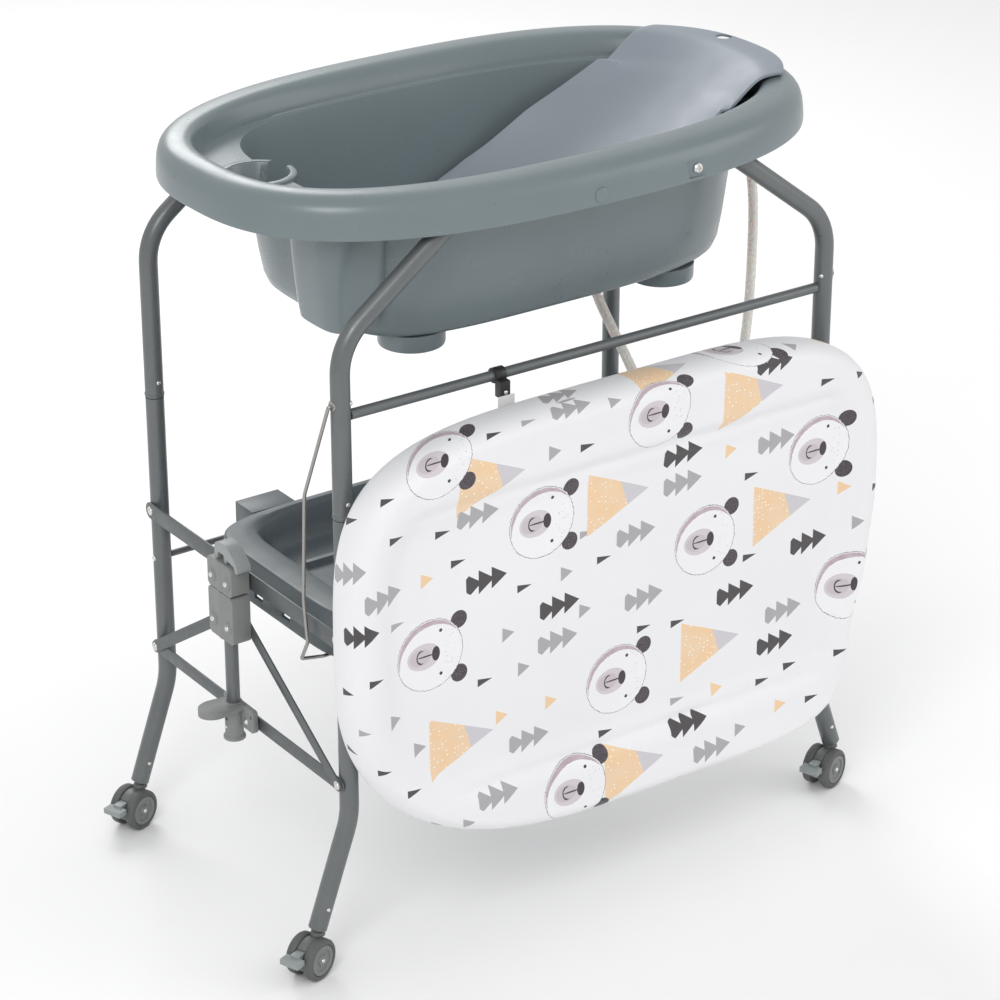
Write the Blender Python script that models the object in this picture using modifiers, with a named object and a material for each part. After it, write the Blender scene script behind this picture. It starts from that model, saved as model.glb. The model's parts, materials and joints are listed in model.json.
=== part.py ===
"""Folding baby changing table: tube frame on casters, fold linkage, lift-off bath, tray and hanging padded board.

Metres, +Z up. X runs along the bath, -Y is the side where the padded board hangs.
"""
import math

import bmesh
import bpy
from mathutils import Matrix, Vector

# ---------------------------------------------------------------- driving dimensions
HX, HY = 0.333, 0.204            # half spacing of the legs
R_TUBE, R_BORE = 0.011, 0.0098   # frame tube, outer and inner radius
Z_JOINT = 0.556                  # where a lower leg plugs into its hoop
Z_TOP = 0.878                    # top rails under the bath's rim
Z_RAIL, R_RAIL = 0.675, 0.006    # front rail that carries the board
Z_ROD, R_ROD = 0.348, 0.004      # rod that carries the back of the tray
Z_UP, Z_LOW, Z_BRACE = 0.411, 0.2305, 0.355   # link pivots
PY = 0.016                       # half spacing of the two pivots in a bracket
LINKS_IN, LINKS_OUT = 0.3444, 0.3464          # link layer, next to the legs
BRACES_IN, BRACES_OUT = 0.3468, 0.3488        # brace layer, outside it
X_POST, R_POST = 0.360, 0.008
BRACKET_IN, BRACKET_OUT = 0.3492, 0.3728
X_FOOT, Z_FOOT = 0.379, 0.055    # bottom of a flared leg
R_WHEEL, TRAIL, YAW = 0.025, 0.014, math.radians(20)
CLEAR = 0.0003                   # gap between neighbouring pieces
CUP = (-0.296, 0.015, 0.035)     # cup well in the bath: centre and radius
DRAIN = (0.150, 0.0)
HOOKS = (-0.195, 0.195)          # tray hooks over the rear rod
BOARD_Z, BOARD_HX, BOARD_HZ = 0.392, 0.372, 0.264
STRAP_X = -0.130
ORIGIN = Vector((0.0139, 0.0207, 0.0))        # puts the middle of the outline over the origin

for o in list(bpy.data.objects):
    bpy.data.objects.remove(o, do_unlink=True)


def collection(name):
    c = bpy.data.collections.new(name)
    bpy.context.scene.collection.children.link(c)
    return c


PARTS, CUTTERS = collection("changing_table"), collection("cutters")
AXIS_TURN = {
    "x": Matrix(((0, 0, 1, 0), (1, 0, 0, 0), (0, 1, 0, 0), (0, 0, 0, 1))),    # (u, v, w) -> (w, u, v)
    "y": Matrix(((1, 0, 0, 0), (0, 0, -1, 0), (0, 1, 0, 0), (0, 0, 0, 1))),   # (u, v, w) -> (u, -w, v)
    "z": Matrix.Identity(4),
}


# ---------------------------------------------------------------- modelling helpers
def add(name, data):
    ob = bpy.data.objects.new(name, data)
    PARTS.objects.link(ob)
    return ob


def evaluated_mesh(ob):
    bpy.context.view_layer.update()
    dg = bpy.context.evaluated_depsgraph_get()
    return bpy.data.meshes.new_from_object(ob.evaluated_get(dg))


def curve_to_mesh(ob):
    """The mesh of a curve object, with its loose caps welded."""
    me = evaluated_mesh(ob)
    bm = bmesh.new()
    bm.from_mesh(me)
    bmesh.ops.remove_doubles(bm, verts=bm.verts, dist=1e-6)
    bmesh.ops.recalc_face_normals(bm, faces=bm.faces)
    bm.to_mesh(me)
    bm.free()
    out = add(ob.name + "_mesh", me)
    out.matrix_world = ob.matrix_world.copy()
    name = ob.name
    bpy.data.objects.remove(ob, do_unlink=True)
    out.name = name
    return out


def tube(name, points, radius, resolution=4, radii=None):
    """A round bar along points."""
    cu = bpy.data.curves.new(name, 'CURVE')
    cu.dimensions = '3D'
    cu.bevel_depth = radius
    cu.bevel_resolution = resolution
    cu.use_fill_caps = True
    sp = cu.splines.new('POLY')
    sp.points.add(len(points) - 1)
    for i, p in enumerate(points):
        sp.points[i].co = (*p, 1)
        sp.points[i].radius = radii[i] if radii else 1
    return curve_to_mesh(add(name, cu))


def flat(name, outline, axis, low, high, bevel=0.0):
    """A flat outline (u, v), given thickness from low to high along an axis."""
    cu = bpy.data.curves.new(name, 'CURVE')
    cu.dimensions = '2D'
    cu.fill_mode = 'BOTH'
    cu.extrude = (high - low) / 2 - bevel
    cu.bevel_depth = bevel
    cu.bevel_resolution = 0
    cu.offset = -bevel
    sp = cu.splines.new('POLY')
    sp.use_cyclic_u = True
    sp.points.add(len(outline) - 1)
    for i, (u, v) in enumerate(outline):
        sp.points[i].co = (u, v, 0, 1)
    ob = add(name, cu)
    mid = (high + low) / 2
    ob.matrix_world = AXIS_TURN[axis] @ Matrix.Translation((0, 0, -mid if axis == "y" else mid))
    return curve_to_mesh(ob)


def turned(name, profile, centre=(0, 0, 0), axis="z", sides=24):
    """A turned solid: profile is (radius, height) from top to bottom, closed on the axis."""
    me = bpy.data.meshes.new(name)
    pts = [(0, profile[0][1])] + list(profile) + [(0, profile[-1][1])]
    bm = bmesh.new()
    vs = [bm.verts.new((r, 0, h)) for r, h in pts]
    for a, b in zip(vs, vs[1:]):
        bm.edges.new((a, b))
    bm.to_mesh(me)
    bm.free()
    ob = add(name, me)
    m = ob.modifiers.new("turn", 'SCREW')
    m.steps = m.render_steps = sides
    m.use_merge_vertices = True
    m.merge_threshold = 1e-5
    skin = evaluated_mesh(ob)
    bm = bmesh.new()
    bm.from_mesh(skin)
    m.use_normal_flip = bm.calc_volume(signed=True) < 0
    bm.free()
    bpy.data.meshes.remove(skin)
    ob.matrix_world = Matrix.Translation(centre) @ AXIS_TURN[axis]
    return ob


def rod(name, centre, axis, radius, low, high, sides=16):
    """A cylinder primitive from low to high along an axis through centre."""
    me = bpy.data.meshes.new(name)
    bm = bmesh.new()
    bmesh.ops.create_cone(bm, cap_ends=True, segments=sides, radius1=radius, radius2=radius, depth=high - low,
                          matrix=Matrix.Translation((0, 0, (high + low) / 2)))
    bm.to_mesh(me)
    bm.free()
    ob = add(name, me)
    turn = AXIS_TURN[axis] if axis != "y" else Matrix.Rotation(math.radians(-90), 4, 'X')
    ob.matrix_world = Matrix.Translation(centre) @ turn
    return ob


def box(name, low, high, bevel=0.0, segments=1):
    me = bpy.data.meshes.new(name)
    low, high = Vector(low), Vector(high)
    size = high - low
    bm = bmesh.new()
    bmesh.ops.create_cube(bm, size=1, matrix=Matrix.Diagonal((*size, 1)))
    if bevel:
        bmesh.ops.bevel(bm, geom=list(bm.edges), offset=bevel, segments=segments, affect='EDGES', profile=0.5)
    bm.to_mesh(me)
    bm.free()
    ob = add(name, me)
    ob.location = (low + high) / 2
    return ob


def loft(name, rings):
    """A closed skin through rings of equal length, capped at both ends."""
    bm = bmesh.new()
    rows = [[bm.verts.new(p) for p in ring] for ring in rings]
    n = len(rows[0])
    for a, b in zip(rows, rows[1:]):
        for k in range(n):
            bm.faces.new((a[k], a[(k + 1) % n], b[(k + 1) % n], b[k]))
    bm.faces.new(rows[0])
    bm.faces.new(rows[-1])
    bmesh.ops.recalc_face_normals(bm, faces=bm.faces)
    me = bpy.data.meshes.new(name)
    bm.to_mesh(me)
    bm.free()
    return add(name, me)


def boolean(ob, other, operation):
    m = ob.modifiers.new(operation.lower(), 'BOOLEAN')
    m.object, m.operation, m.solver = other, operation, 'EXACT'
    other.hide_render = True
    other.display_type = 'WIRE'
    for c in other.users_collection:
        c.objects.unlink(other)
    CUTTERS.objects.link(other)


def cut(ob, *others):
    for other in others:
        boolean(ob, other, 'DIFFERENCE')
    return ob


def join(ob, *others):
    for other in others:
        boolean(ob, other, 'UNION')
    return ob


def mirror_copy(ob, name):
    """The same piece for the other end, mirrored in X."""
    me = evaluated_mesh(ob)
    me.transform(Matrix.Scale(-1, 4, (1, 0, 0)) @ ob.matrix_world)
    me.flip_normals()
    return add(name, me)


def arcs(points, radii, steps=8):
    """A path whose inner corners are arcs of the given radii."""
    pts = [Vector(p) for p in points]
    out = [pts[0]]
    for i in range(1, len(pts) - 1):
        p, r = pts[i], radii[i - 1]
        a, b = (pts[i - 1] - p).normalized(), (pts[i + 1] - p).normalized()
        half = a.angle(b) / 2
        t, c = r / math.tan(half), p + (a + b).normalized() * (r / math.sin(half))
        v0, v1 = p + a * t - c, p + b * t - c
        turn, axis = v0.angle(v1), v0.cross(v1).normalized()
        n = max(2, round(steps * turn / (math.pi / 2)))
        out += [c + Matrix.Rotation(turn * k / n, 3, axis) @ v0 for k in range(n + 1)]
    return out + [pts[-1]]


def smooth_path(points, spacing):
    """Points about a spacing apart on a smooth curve through the given ones."""
    pts = [Vector(p) for p in points]
    pts = [2 * pts[0] - pts[1]] + pts + [2 * pts[-1] - pts[-2]]
    out = []
    for i in range(1, len(pts) - 2):
        p0, p1, p2, p3 = pts[i - 1:i + 3]
        n = max(2, round((p2 - p1).length / spacing))
        for k in range(n):
            t = k / n
            out.append(0.5 * (2 * p1 + (p2 - p0) * t + (2 * p0 - 5 * p1 + 4 * p2 - p3) * t * t + (3 * p1 - p0 - 3 * p2 + p3) * t ** 3))
    return out + [pts[-2]]


def round_rect(u0, u1, v0, v1, r, steps=3):
    out = []
    for cu, cv, a0 in ((u1 - r, v1 - r, 0), (u0 + r, v1 - r, 90), (u0 + r, v0 + r, 180), (u1 - r, v0 + r, 270)):
        for k in range(steps + 1):
            a = math.radians(a0 + 90 * k / steps)
            out.append((cu + r * math.cos(a), cv + r * math.sin(a)))
    return out


def round_ended(p, q, r, steps=6):
    """Outline of a strip with round ends from p to q."""
    a0 = math.atan2(q[1] - p[1], q[0] - p[0])
    out = []
    for centre, start in ((q, a0 - math.pi / 2), (p, a0 + math.pi / 2)):
        for k in range(steps + 1):
            a = start + math.pi * k / steps
            out.append((centre[0] + r * math.cos(a), centre[1] + r * math.sin(a)))
    return out


def oval(left, right, half, n_left, n_right, z, count=52, centre_y=0.0):
    """A rounded outline: its two ends may reach and round differently."""
    out = []
    for k in range(count):
        t = 2 * math.pi * (k + 0.5) / count
        c, s = math.cos(t), math.sin(t)
        reach, n = (left, n_left) if c < 0 else (right, n_right)
        out.append(Vector((math.copysign(abs(c) ** (2 / n), c) * reach, centre_y + math.copysign(abs(s) ** (2 / n), s) * half, z)))
    return out


SIDES = (("left", -1), ("right", 1))
ENDS = (("front", -1), ("rear", 1))

# ---------------------------------------------------------------- frame
for end, sy in ENDS:
    y = sy * HY
    path = arcs([(-HX, y, Z_JOINT), (-HX, y, 0.757), (-0.173, y, Z_TOP), (0.173, y, Z_TOP), (HX, y, 0.757), (HX, y, Z_JOINT)],
                [0.07, 0.06, 0.06, 0.07], 8)
    hoop = tube(end + "_upper_hoop", path, R_TUBE)
    long_path = [path[0] - Vector((0, 0, 0.01))] + path[1:-1] + [path[-1] - Vector((0, 0, 0.01))]
    cut(hoop, tube("hoop_bore_" + end, long_path, R_BORE))
    if sy < 0:
        for side, sx in SIDES:
            cut(hoop, flat("wire_slot_" + side, round_ended((y, 0.6830), (y, 0.6970), 0.0029), "x", sx * 0.3415 - 0.0065, sx * 0.3415 + 0.0065))
    for side, sx in SIDES:
        leg_path = arcs([(sx * HX, y, Z_JOINT - CLEAR), (sx * HX, y, 0.186), (sx * X_FOOT, y, Z_FOOT)], [0.10], 10)
        leg = tube("%s_lower_leg_%s" % (end, side), leg_path, R_TUBE)
        along = (leg_path[-2] - leg_path[-1]).normalized()
        spigot = rod("spigot_%s_%s" % (end, side), (sx * HX, y, 0), "z", 0.0095, Z_JOINT - 0.010, Z_JOINT + 0.035, 12)
        join(leg, spigot)
        inner = [Vector((sx * HX, y, Z_JOINT + 0.045))] + leg_path[1:-1] + [leg_path[-1] + along * 0.030]
        cut(leg, tube("leg_bore_%s_%s" % (end, side), inner, 0.0083))
        cut(leg, rod("stem_hole_%s_%s" % (end, side), (sx * X_FOOT, y, 0), "z", 0.0044, 0.030, 0.0725, 12))

reach = HX - R_TUBE - CLEAR
rail = tube("front_rail", [(-reach, -HY, Z_RAIL), (reach, -HY, Z_RAIL)], R_RAIL)
cut(rail, rod("rail_bore", (0, -HY, Z_RAIL), "x", 0.0049, -0.4, 0.4, 12))
tube("rear_tray_rod", [(-reach, HY, Z_ROD), (reach, HY, Z_ROD)], R_ROD, 3)


# ---------------------------------------------------------------- fold linkage
def link_pair(names, far, half_width, low, high, head):
    """One strip from its leg pivot, placed four times. names gives (end, side) -> node."""
    first = flat(names["rear", "left"], round_ended((0, 0), far, half_width), "x", -high, -low)
    if head:
        rivet = turned("rivet_" + first.name, [(0.0032, 0.0018), (0.0048, 0.0008), (0.0048, -0.0004)], (-high, 0, 0), "x", 10)
        rivet.matrix_world = Matrix.Translation((-high, 0, 0)) @ Matrix.Rotation(math.radians(-90), 4, 'Y')
        join(first, rivet)
    me_left = evaluated_mesh(first)
    me_left.transform(first.matrix_world)
    bpy.data.objects.remove(first, do_unlink=True)
    me_right = me_left.copy()
    me_right.transform(Matrix.Scale(-1, 4, (1, 0, 0)))
    me_right.flip_normals()
    half_turn = Matrix.Rotation(math.pi, 4, 'Z')
    return {("rear", "left"): (me_left, Matrix.Identity(4)), ("rear", "right"): (me_right, Matrix.Identity(4)),
            ("front", "right"): (me_left, half_turn), ("front", "left"): (me_right, half_turn)}


LINKS = (("upper_%s_link_%s", Z_UP, (PY - HY, 0.0), 0.0105, LINKS_IN, LINKS_OUT, True),
         ("lower_%s_link_%s", Z_LOW, (PY - HY, 0.0), 0.0085, LINKS_IN, LINKS_OUT, False),
         ("brace_%s_%s", Z_LOW, (PY - HY, Z_BRACE - Z_LOW), 0.0072, BRACES_IN, BRACES_OUT, True))
for pattern, z, far, width, low, high, head in LINKS:
    names = {(e, s): pattern % (e, s) for e, _ in ENDS for s, _ in SIDES}
    for (end, side), (me, turn) in link_pair(names, far, width, low, high, head).items():
        ob = add(names[end, side], me)
        ob.matrix_world = Matrix.Translation((0, HY if end == "rear" else -HY, z)) @ turn


def boss(name, y, z, tip):
    return rod(name, (0, y, z), "x", 0.0048, -BRACKET_IN - 0.003, -tip, 10)


def post_bore(name, low, high):
    return rod(name, (-X_POST, 0, 0), "z", R_POST + CLEAR, low, high, 16)


post = tube("post_left", [(-X_POST, 0, 0.2084), (-X_POST, 0, 0.4296)], R_POST)
cut(post, rod("post_inside", (-X_POST, 0, 0), "z", 0.0066, 0.19, 0.45, 12))

upper = flat("upper_bracket_left", round_rect(-0.0275, 0.0255, 0.3965, 0.4335, 0.005), "x", -BRACKET_OUT, -BRACKET_IN)
join(upper, boss("boss_u1", PY, Z_UP, 0.3467), boss("boss_u2", -PY, Z_UP, 0.3467))
cut(upper, post_bore("bore_u", 0.15, 0.4300))

slider = flat("sliding_bracket_left", round_rect(-0.0275, 0.0255, 0.3360, 0.3955, 0.006), "x", -BRACKET_OUT, -BRACKET_IN)
join(slider, boss("boss_s1", PY, Z_BRACE, 0.34895), boss("boss_s2", -PY, Z_BRACE, 0.34895))
cut(slider, post_bore("bore_s", 0.15, 0.50))

clamp = turned("foot_clamp_left", [(0.0098, 0.2515), (0.0108, 0.2495), (0.0108, 0.2085), (0.0126, 0.2065), (0.0126, 0.2035)], (-X_POST, 0, 0), sides=18)
paddle = [(-0.352, -0.0135)] + [(-0.386 - 0.0195 * math.sin(math.pi * k / 8), -0.0165 * math.cos(math.pi * k / 8)) for k in range(9)] + [(-0.352, 0.0135)]
join(clamp, flat("paddle", paddle, "z", 0.2425, 0.2510))
join(clamp, flat("ear", round_rect(-0.0360, 0.0300, 0.2205, 0.2490, 0.004, 2), "x", -0.3555, -BRACKET_IN))
join(clamp, boss("boss_c1", PY, Z_LOW, 0.3467), boss("boss_c2", -PY, Z_LOW, 0.3467))
cut(clamp, post_bore("bore_c", 0.2080, 0.50))
cut(clamp, rod("ear_hole", (0, -0.0300, 0.2395), "x", 0.0024, -0.358, -0.347, 10))

LEVER_Z = 0.4345
side_view = [(-0.0370, LEVER_Z - 0.0020), (-0.0345, LEVER_Z - 0.0045), (-0.0300, LEVER_Z - 0.0020), (-0.0285, LEVER_Z + 0.0020), (-0.0140, LEVER_Z + 0.0050),
             (-0.0130, LEVER_Z), (-0.0085, LEVER_Z), (-0.0070, LEVER_Z + 0.0090), (0.0050, LEVER_Z + 0.0090), (0.0065, LEVER_Z), (0.0115, LEVER_Z),
             (0.0130, LEVER_Z + 0.0030), (0.0120, LEVER_Z + 0.0160), (0.0060, LEVER_Z + 0.0210), (-0.0040, LEVER_Z + 0.0225), (-0.0170, LEVER_Z + 0.0200),
             (-0.0290, LEVER_Z + 0.0110), (-0.0360, LEVER_Z + 0.0030)]
flat("release_lever_left", side_view, "x", -0.3700, -0.3520)

wire = arcs([(-0.3385, -HY, 0.690), (-0.3475, -0.2030, 0.6895), (-0.3600, -0.1700, 0.578), (-0.3560, -0.1560, 0.445), (-0.3535, -0.1580, 0.392),
             (-0.3440, -0.1280, 0.356), (-0.2980, -0.1000, 0.3335), (-0.2780, -0.1000, 0.3335)], [0.003, 0.03, 0.03, 0.010, 0.012, 0.010], 3)
tube("tray_hanger_left", wire, 0.0021, 2)

for stem in ("post", "upper_bracket", "sliding_bracket", "foot_clamp", "release_lever", "tray_hanger"):
    mirror_copy(bpy.data.objects[stem + "_left"], stem + "_right")

# ---------------------------------------------------------------- bath
# reach left, reach right, half width, height, roundness left and right: up the outside, over the rim, down the inside
OUTSIDE = ((.228, .255, .133, .7070, 4.2, 3.2), (.240, .268, .144, .7092, 4.2, 3.2), (.2520, .2815, .1545, .7260, 4.2, 3.2),
           (.2670, .2950, .1705, .8200, 3.8, 3.0), (.2750, .3060, .1805, .8700, 3.6, 2.9))
RIM = ((.3430, .3330, .1845, .8735, 2.9, 2.6), (.3500, .3400, .1880, .8930, 2.8, 2.6), (.3660, .3560, .2050, .9015, 2.6, 2.6),
       (.3745, .3695, .2250, .9000, 2.6, 2.6), (.3830, .3790, .2370, .8870, 2.6, 2.6), (.3840, .3800, .2388, .8605, 2.6, 2.6),
       (.3884, .3844, .2438, .8600, 2.6, 2.6), (.3888, .3850, .2442, .8660, 2.6, 2.6), (.3874, .3832, .2424, .8850, 2.6, 2.6),
       (.3826, .3782, .2376, .8970, 2.6, 2.6), (.3726, .3672, .2270, .9040, 2.6, 2.6), (.3616, .3540, .2070, .9055, 2.6, 2.6),
       (.3520, .3430, .1930, .9020, 2.7, 2.6), (.3450, .3370, .1835, .8860, 2.9, 2.6), (.3400, .3345, .1810, .8770, 3.0, 2.6))
INSIDE = ((.2760, .3100, .1780, .8750, 3.55, 2.85), (.2638, .2918, .1672, .8200, 3.8, 3.0), (.2485, .2780, .1510, .7270, 4.2, 3.2),
          (.2350, .2630, .1390, .7120, 4.2, 3.2), (.2200, .2480, .1260, .7105, 4.2, 3.2))


def section(l, r, b, z, nl, nr, grow=0.0):
    return oval(l + grow, r + grow, b + grow, nl, nr, z)


bath = loft("bathtub", [section(*s) for s in OUTSIDE + RIM + INSIDE])


def basin(name):
    """The inside of the basin, a little oversize, to trim what is added outside it."""
    rows = [section(*s, grow=0.0012) for s in reversed(INSIDE[:-1])]
    return loft(name, rows + [section(.2760, .3100, .1780, .9300, 3.55, 2.85, grow=0.0012)])


cx, cy, cr = CUP
well = turned("cup_well", [(.0395, .8745), (.0385, .8430), (.0360, .8405)], (cx, cy, 0), sides=24)
cut(well, basin("basin_a"))
join(bath, well)
join(bath, turned("cup_collar", [(.0422, .8785), (.0434, .8770), (.0434, .8700), (.0422, .8680)], (cx, cy, 0), sides=24))
cut(bath, turned("cup_inside", [(cr + .0005, .9200), (.0335, .8480), (.0320, .8455)], (cx, cy, 0), sides=24))
mouth = box("cup_mouth", (0.0, -0.0130, .8300), (0.060, 0.0130, .9000))
mouth.matrix_world = Matrix.Translation((cx, cy, 0)) @ Matrix.Rotation(math.radians(18), 4, 'Z') @ Matrix.Translation((0.030, 0, .865))
cut(bath, mouth)
pocket = loft("corner_pocket", [oval(a, a, b, 3.4, 3.4, z, 20) for a, b, z in
                                ((.026, .036, .7330), (.0335, .0440, .7360), (.0400, .0510, .8000), (.0430, .0540, .8740))])
pocket.location = (-0.263, -0.094, 0)
cut(pocket, basin("basin_b"))
join(bath, pocket)
for i, (fx, fy) in enumerate(((-0.172, -0.098), (0.176, -0.098), (-0.172, 0.098), (0.176, 0.098))):
    join(bath, turned("foot_%d" % i, [(.0385, .7080), (.0378, .6890), (.0365, .6880)], (fx, fy, 0), sides=18))
cut(bath, rod("drain_hole", (*DRAIN, 0), "z", .0120, .700, .720, 16))
SCREW = (0.114, 0.8740)
cut(bath, flat("screw_recess", [(SCREW[0] - .0165, SCREW[1] + .0095), (SCREW[0] - .0120, SCREW[1] - .0105), (SCREW[0] + .0150, SCREW[1] - .0105),
                                (SCREW[0] + .0165, SCREW[1] + .0125)], "y", -0.2480, -0.2385))
button = turned("rim_button", [(.0078, .0063), (.0088, .0055), (.0088, 0)], (-.020, -.2395, .8710), sides=14)
button.matrix_world = Matrix.Translation((-.020, -.2395, .8710)) @ Matrix.Rotation(math.radians(90), 4, 'X')
join(bath, button)

screw = turned("rim_screw", [(.0020, .0044), (.0046, .0038), (.0058, .0022), (.0058, 0)], sides=16)
screw.matrix_world = Matrix.Translation((SCREW[0], -.2385 - .0001, SCREW[1])) @ Matrix.Rotation(math.radians(90), 4, 'X')
for half in ((.0034, .0006), (.0006, .0034)):
    cut(screw, box("cross_%d" % (half[0] > half[1]), (SCREW[0] - half[0], -.2460, SCREW[1] - half[1]), (SCREW[0] + half[0], -.2408, SCREW[1] + half[1])))

dx, dy = DRAIN
spout = turned("drain_spout", [(.0200, .7066), (.0200, .7030), (.0085, .7030), (.0075, .6745)], (dx, dy, 0), sides=16)
cut(spout, rod("spout_bore", (dx, dy, 0), "z", .0052, .66, .72, 12))
plug = turned("drain_plug", [(.0040, .7270), (.0060, .7235), (.0042, .7155), (.0150, .7155), (.0180, .7140), (.0180, .7110), (.0112, .7110), (.0105, .7075)],
              (dx, dy, 0), sides=18)
route = smooth_path([(dx, dy, .6738), (dx + .004, dy - .004, .640), (0.178, -0.036, 0.560), (0.205, -0.062, 0.480), (0.252, -0.072, 0.434), (0.312, -0.062, 0.462),
                     (0.352, -0.044, 0.560), (0.372, -0.026, 0.700), (0.367, -0.020, 0.780), (0.3604, -0.020, 0.826), (0.360, -0.020, 0.842)], 0.016)
tube("drain_hose", route, .0060, 3)
hook = flat("hose_hook", round_rect(.3460, .3740, -.0300, -.0100, .004, 2), "z", .8430, .8500)
join(hook, rod("hook_pin", (.360, -.020, 0), "z", .0058, .8480, .8960, 14))

# reclined support: one sheet that hooks over the rim and slopes to the floor of the bath
SHEET = [(.3800, .9095), (.3740, .9114), (.3640, .9120), (.3540, .9118), (.3410, .9088), (.3260, .8995), (.3020, .8815), (.2500, .8450), (.2000, .8150),
         (.1500, .7890), (.1000, .7700), (.0550, .7570), (.0150, .7450), (-.0250, .7310), (-.0600, .7200)]


def basin_half_width(x, z):
    """Half width of the basin at a point, from its sections."""
    rows = sorted(INSIDE, key=lambda s: s[3])
    z = min(max(z, rows[0][3]), rows[-1][3])
    for a, b in zip(rows, rows[1:]):
        if a[3] <= z <= b[3]:
            t = (z - a[3]) / (b[3] - a[3])
            r, half, n = (a[j] + (b[j] - a[j]) * t for j in (1, 2, 5))
            return half * max(0.0, 1 - min(1.0, max(x, 0) / r) ** n) ** (1 / n)
    return rows[-1][2]


def sheet_point(x, z, side):
    """A point of the reclined sheet: its width follows the basin, and it bows with the rim's curve."""
    bow = min(1.0, max(0.0, (z - .735) / .09))
    half = want = .116 + max(0.0, .8790 - z) * .30
    for _ in range(4):
        here = x - bow * (.345 - .345 * (1 - min(.95, abs(half * side) / .190) ** 2.45) ** .408)
        half = want if z > .8790 else min(want, basin_half_width(here, z - .006) - .0090)
    y = half * side
    lip = .345 * (1 - (abs(y) / .190) ** 2.45) ** .408
    return x - bow * (.345 - lip), y, z + (0.0 if z > .8790 else .010 * abs(side) ** 3)


ACROSS = 8
me = bpy.data.meshes.new("bath_support")
bm = bmesh.new()
bmesh.ops.create_grid(bm, x_segments=len(SHEET) - 1, y_segments=ACROSS, size=1)
for v in bm.verts:
    i = round((v.co.x + 1) / 2 * (len(SHEET) - 1))
    side = v.co.y
    x, z = SHEET[i]
    v.co = sheet_point(x, z, side)
bmesh.ops.recalc_face_normals(bm, faces=bm.faces)
if sum(f.normal.z for f in bm.faces) < 0:
    bmesh.ops.reverse_faces(bm, faces=bm.faces)
bm.to_mesh(me)
bm.free()
support = add("bath_support", me)
m = support.modifiers.new("thickness", 'SOLIDIFY')
m.thickness, m.offset = .0032, -1
cut(support, rod("hang_hole", (.364, .030, 0), "z", .0100, .89, .93, 16))

# ---------------------------------------------------------------- tray
TRAY = ((.200, .110, .3420), (.2440, .1440, .3480), (.2500, .1490, .3700), (.2580, .1550, .3860), (.2925, .1610, .3820), (.2960, .1640, .3385),
        (.2995, .1672, .3385), (.3005, .1680, .3420), (.2940, .1630, .3885), (.2880, .1590, .3905), (.2620, .1530, .3905), (.2505, .1475, .3820),
        (.2400, .1395, .3500), (.2300, .1310, .3456), (.200, .110, .3450))
TRAY_Y = 0.008
tray = loft("storage_tray", [oval(l, l, b, 7, 7, z, 40, TRAY_Y) for l, b, z in TRAY])
saddle = [(HY + (R_ROD + .0005) * math.cos(math.pi * k / 10), Z_ROD + (R_ROD + .0005) * math.sin(math.pi * k / 10)) for k in range(11)]
saddle += [(HY - R_ROD - .0005, .330), (HY + R_ROD + .0005, .330)]
for i, hx in enumerate(HOOKS):
    lug = box("hook_%d" % i, (hx - .030, .1722, .3440), (hx + .030, .2125, .3880), .003)
    cut(lug, flat("saddle_%d" % i, saddle, "x", hx - .05, hx + .05))
    join(tray, lug)
for i, ry in enumerate((-.070, .008, .086)):
    join(tray, box("rib_%d" % i, (-.205, ry - .004, .3440), (.205, ry + .004, .3520)))
for i, sy in enumerate((-1, 1)):
    cut(tray, box("slot_%d" % i, (-.310, TRAY_Y + sy * .030 - .009, .3480), (-.290, TRAY_Y + sy * .030 + .009, .3590)))

# ---------------------------------------------------------------- changing board
panel = [(p.x, BOARD_Z + p.y) for p in oval(.338, .338, .230, 4.0, 4.0, 0, 40)]
flat("board_base", panel, "y", -.2280, -.2220)

CORNERS = {(1, 1): 4.4, (-1, 1): 4.1, (-1, -1): 2.5, (1, -1): 6.5}     # roundness of each corner of the pad, by the signs of x and z


def pad_ring(y, inset, count=20):
    out = []
    for k in range(count):
        t = 2 * math.pi * (k + 0.5) / count
        c, s = math.cos(t), math.sin(t)
        n = CORNERS[1 if c > 0 else -1, 1 if s > 0 else -1]
        out.append(Vector((math.copysign(abs(c) ** (2 / n), c) * (BOARD_HX - inset), y, BOARD_Z + math.copysign(abs(s) ** (2 / n), s) * (BOARD_HZ - inset))))
    return out


PAD_BACK, PAD_FRONT = -.2286, -.2855
pad = loft("changing_pad", [pad_ring(PAD_BACK, .040), pad_ring(PAD_BACK, .006), pad_ring(-.2440, 0), pad_ring(-.2700, 0), pad_ring(PAD_FRONT, .010), pad_ring(PAD_FRONT, .050)])
m = pad.modifiers.new("soft", 'SUBSURF')
m.levels = m.render_levels = 1

box("board_strap", (STRAP_X - .0110, -.2215, .5900), (STRAP_X + .0110, -.2203, .6560))
grip = rod("board_clip", (STRAP_X, -HY, Z_RAIL), "x", .0088, -.0070, .0070, 14)
join(grip, box("clip_tab", (STRAP_X - .0062, -.2200, .6520), (STRAP_X + .0062, -.2080, .6720)))
cut(grip, rod("clip_bore", (STRAP_X, -HY, Z_RAIL), "x", R_RAIL + CLEAR, -.02, .02, 14))

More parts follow.
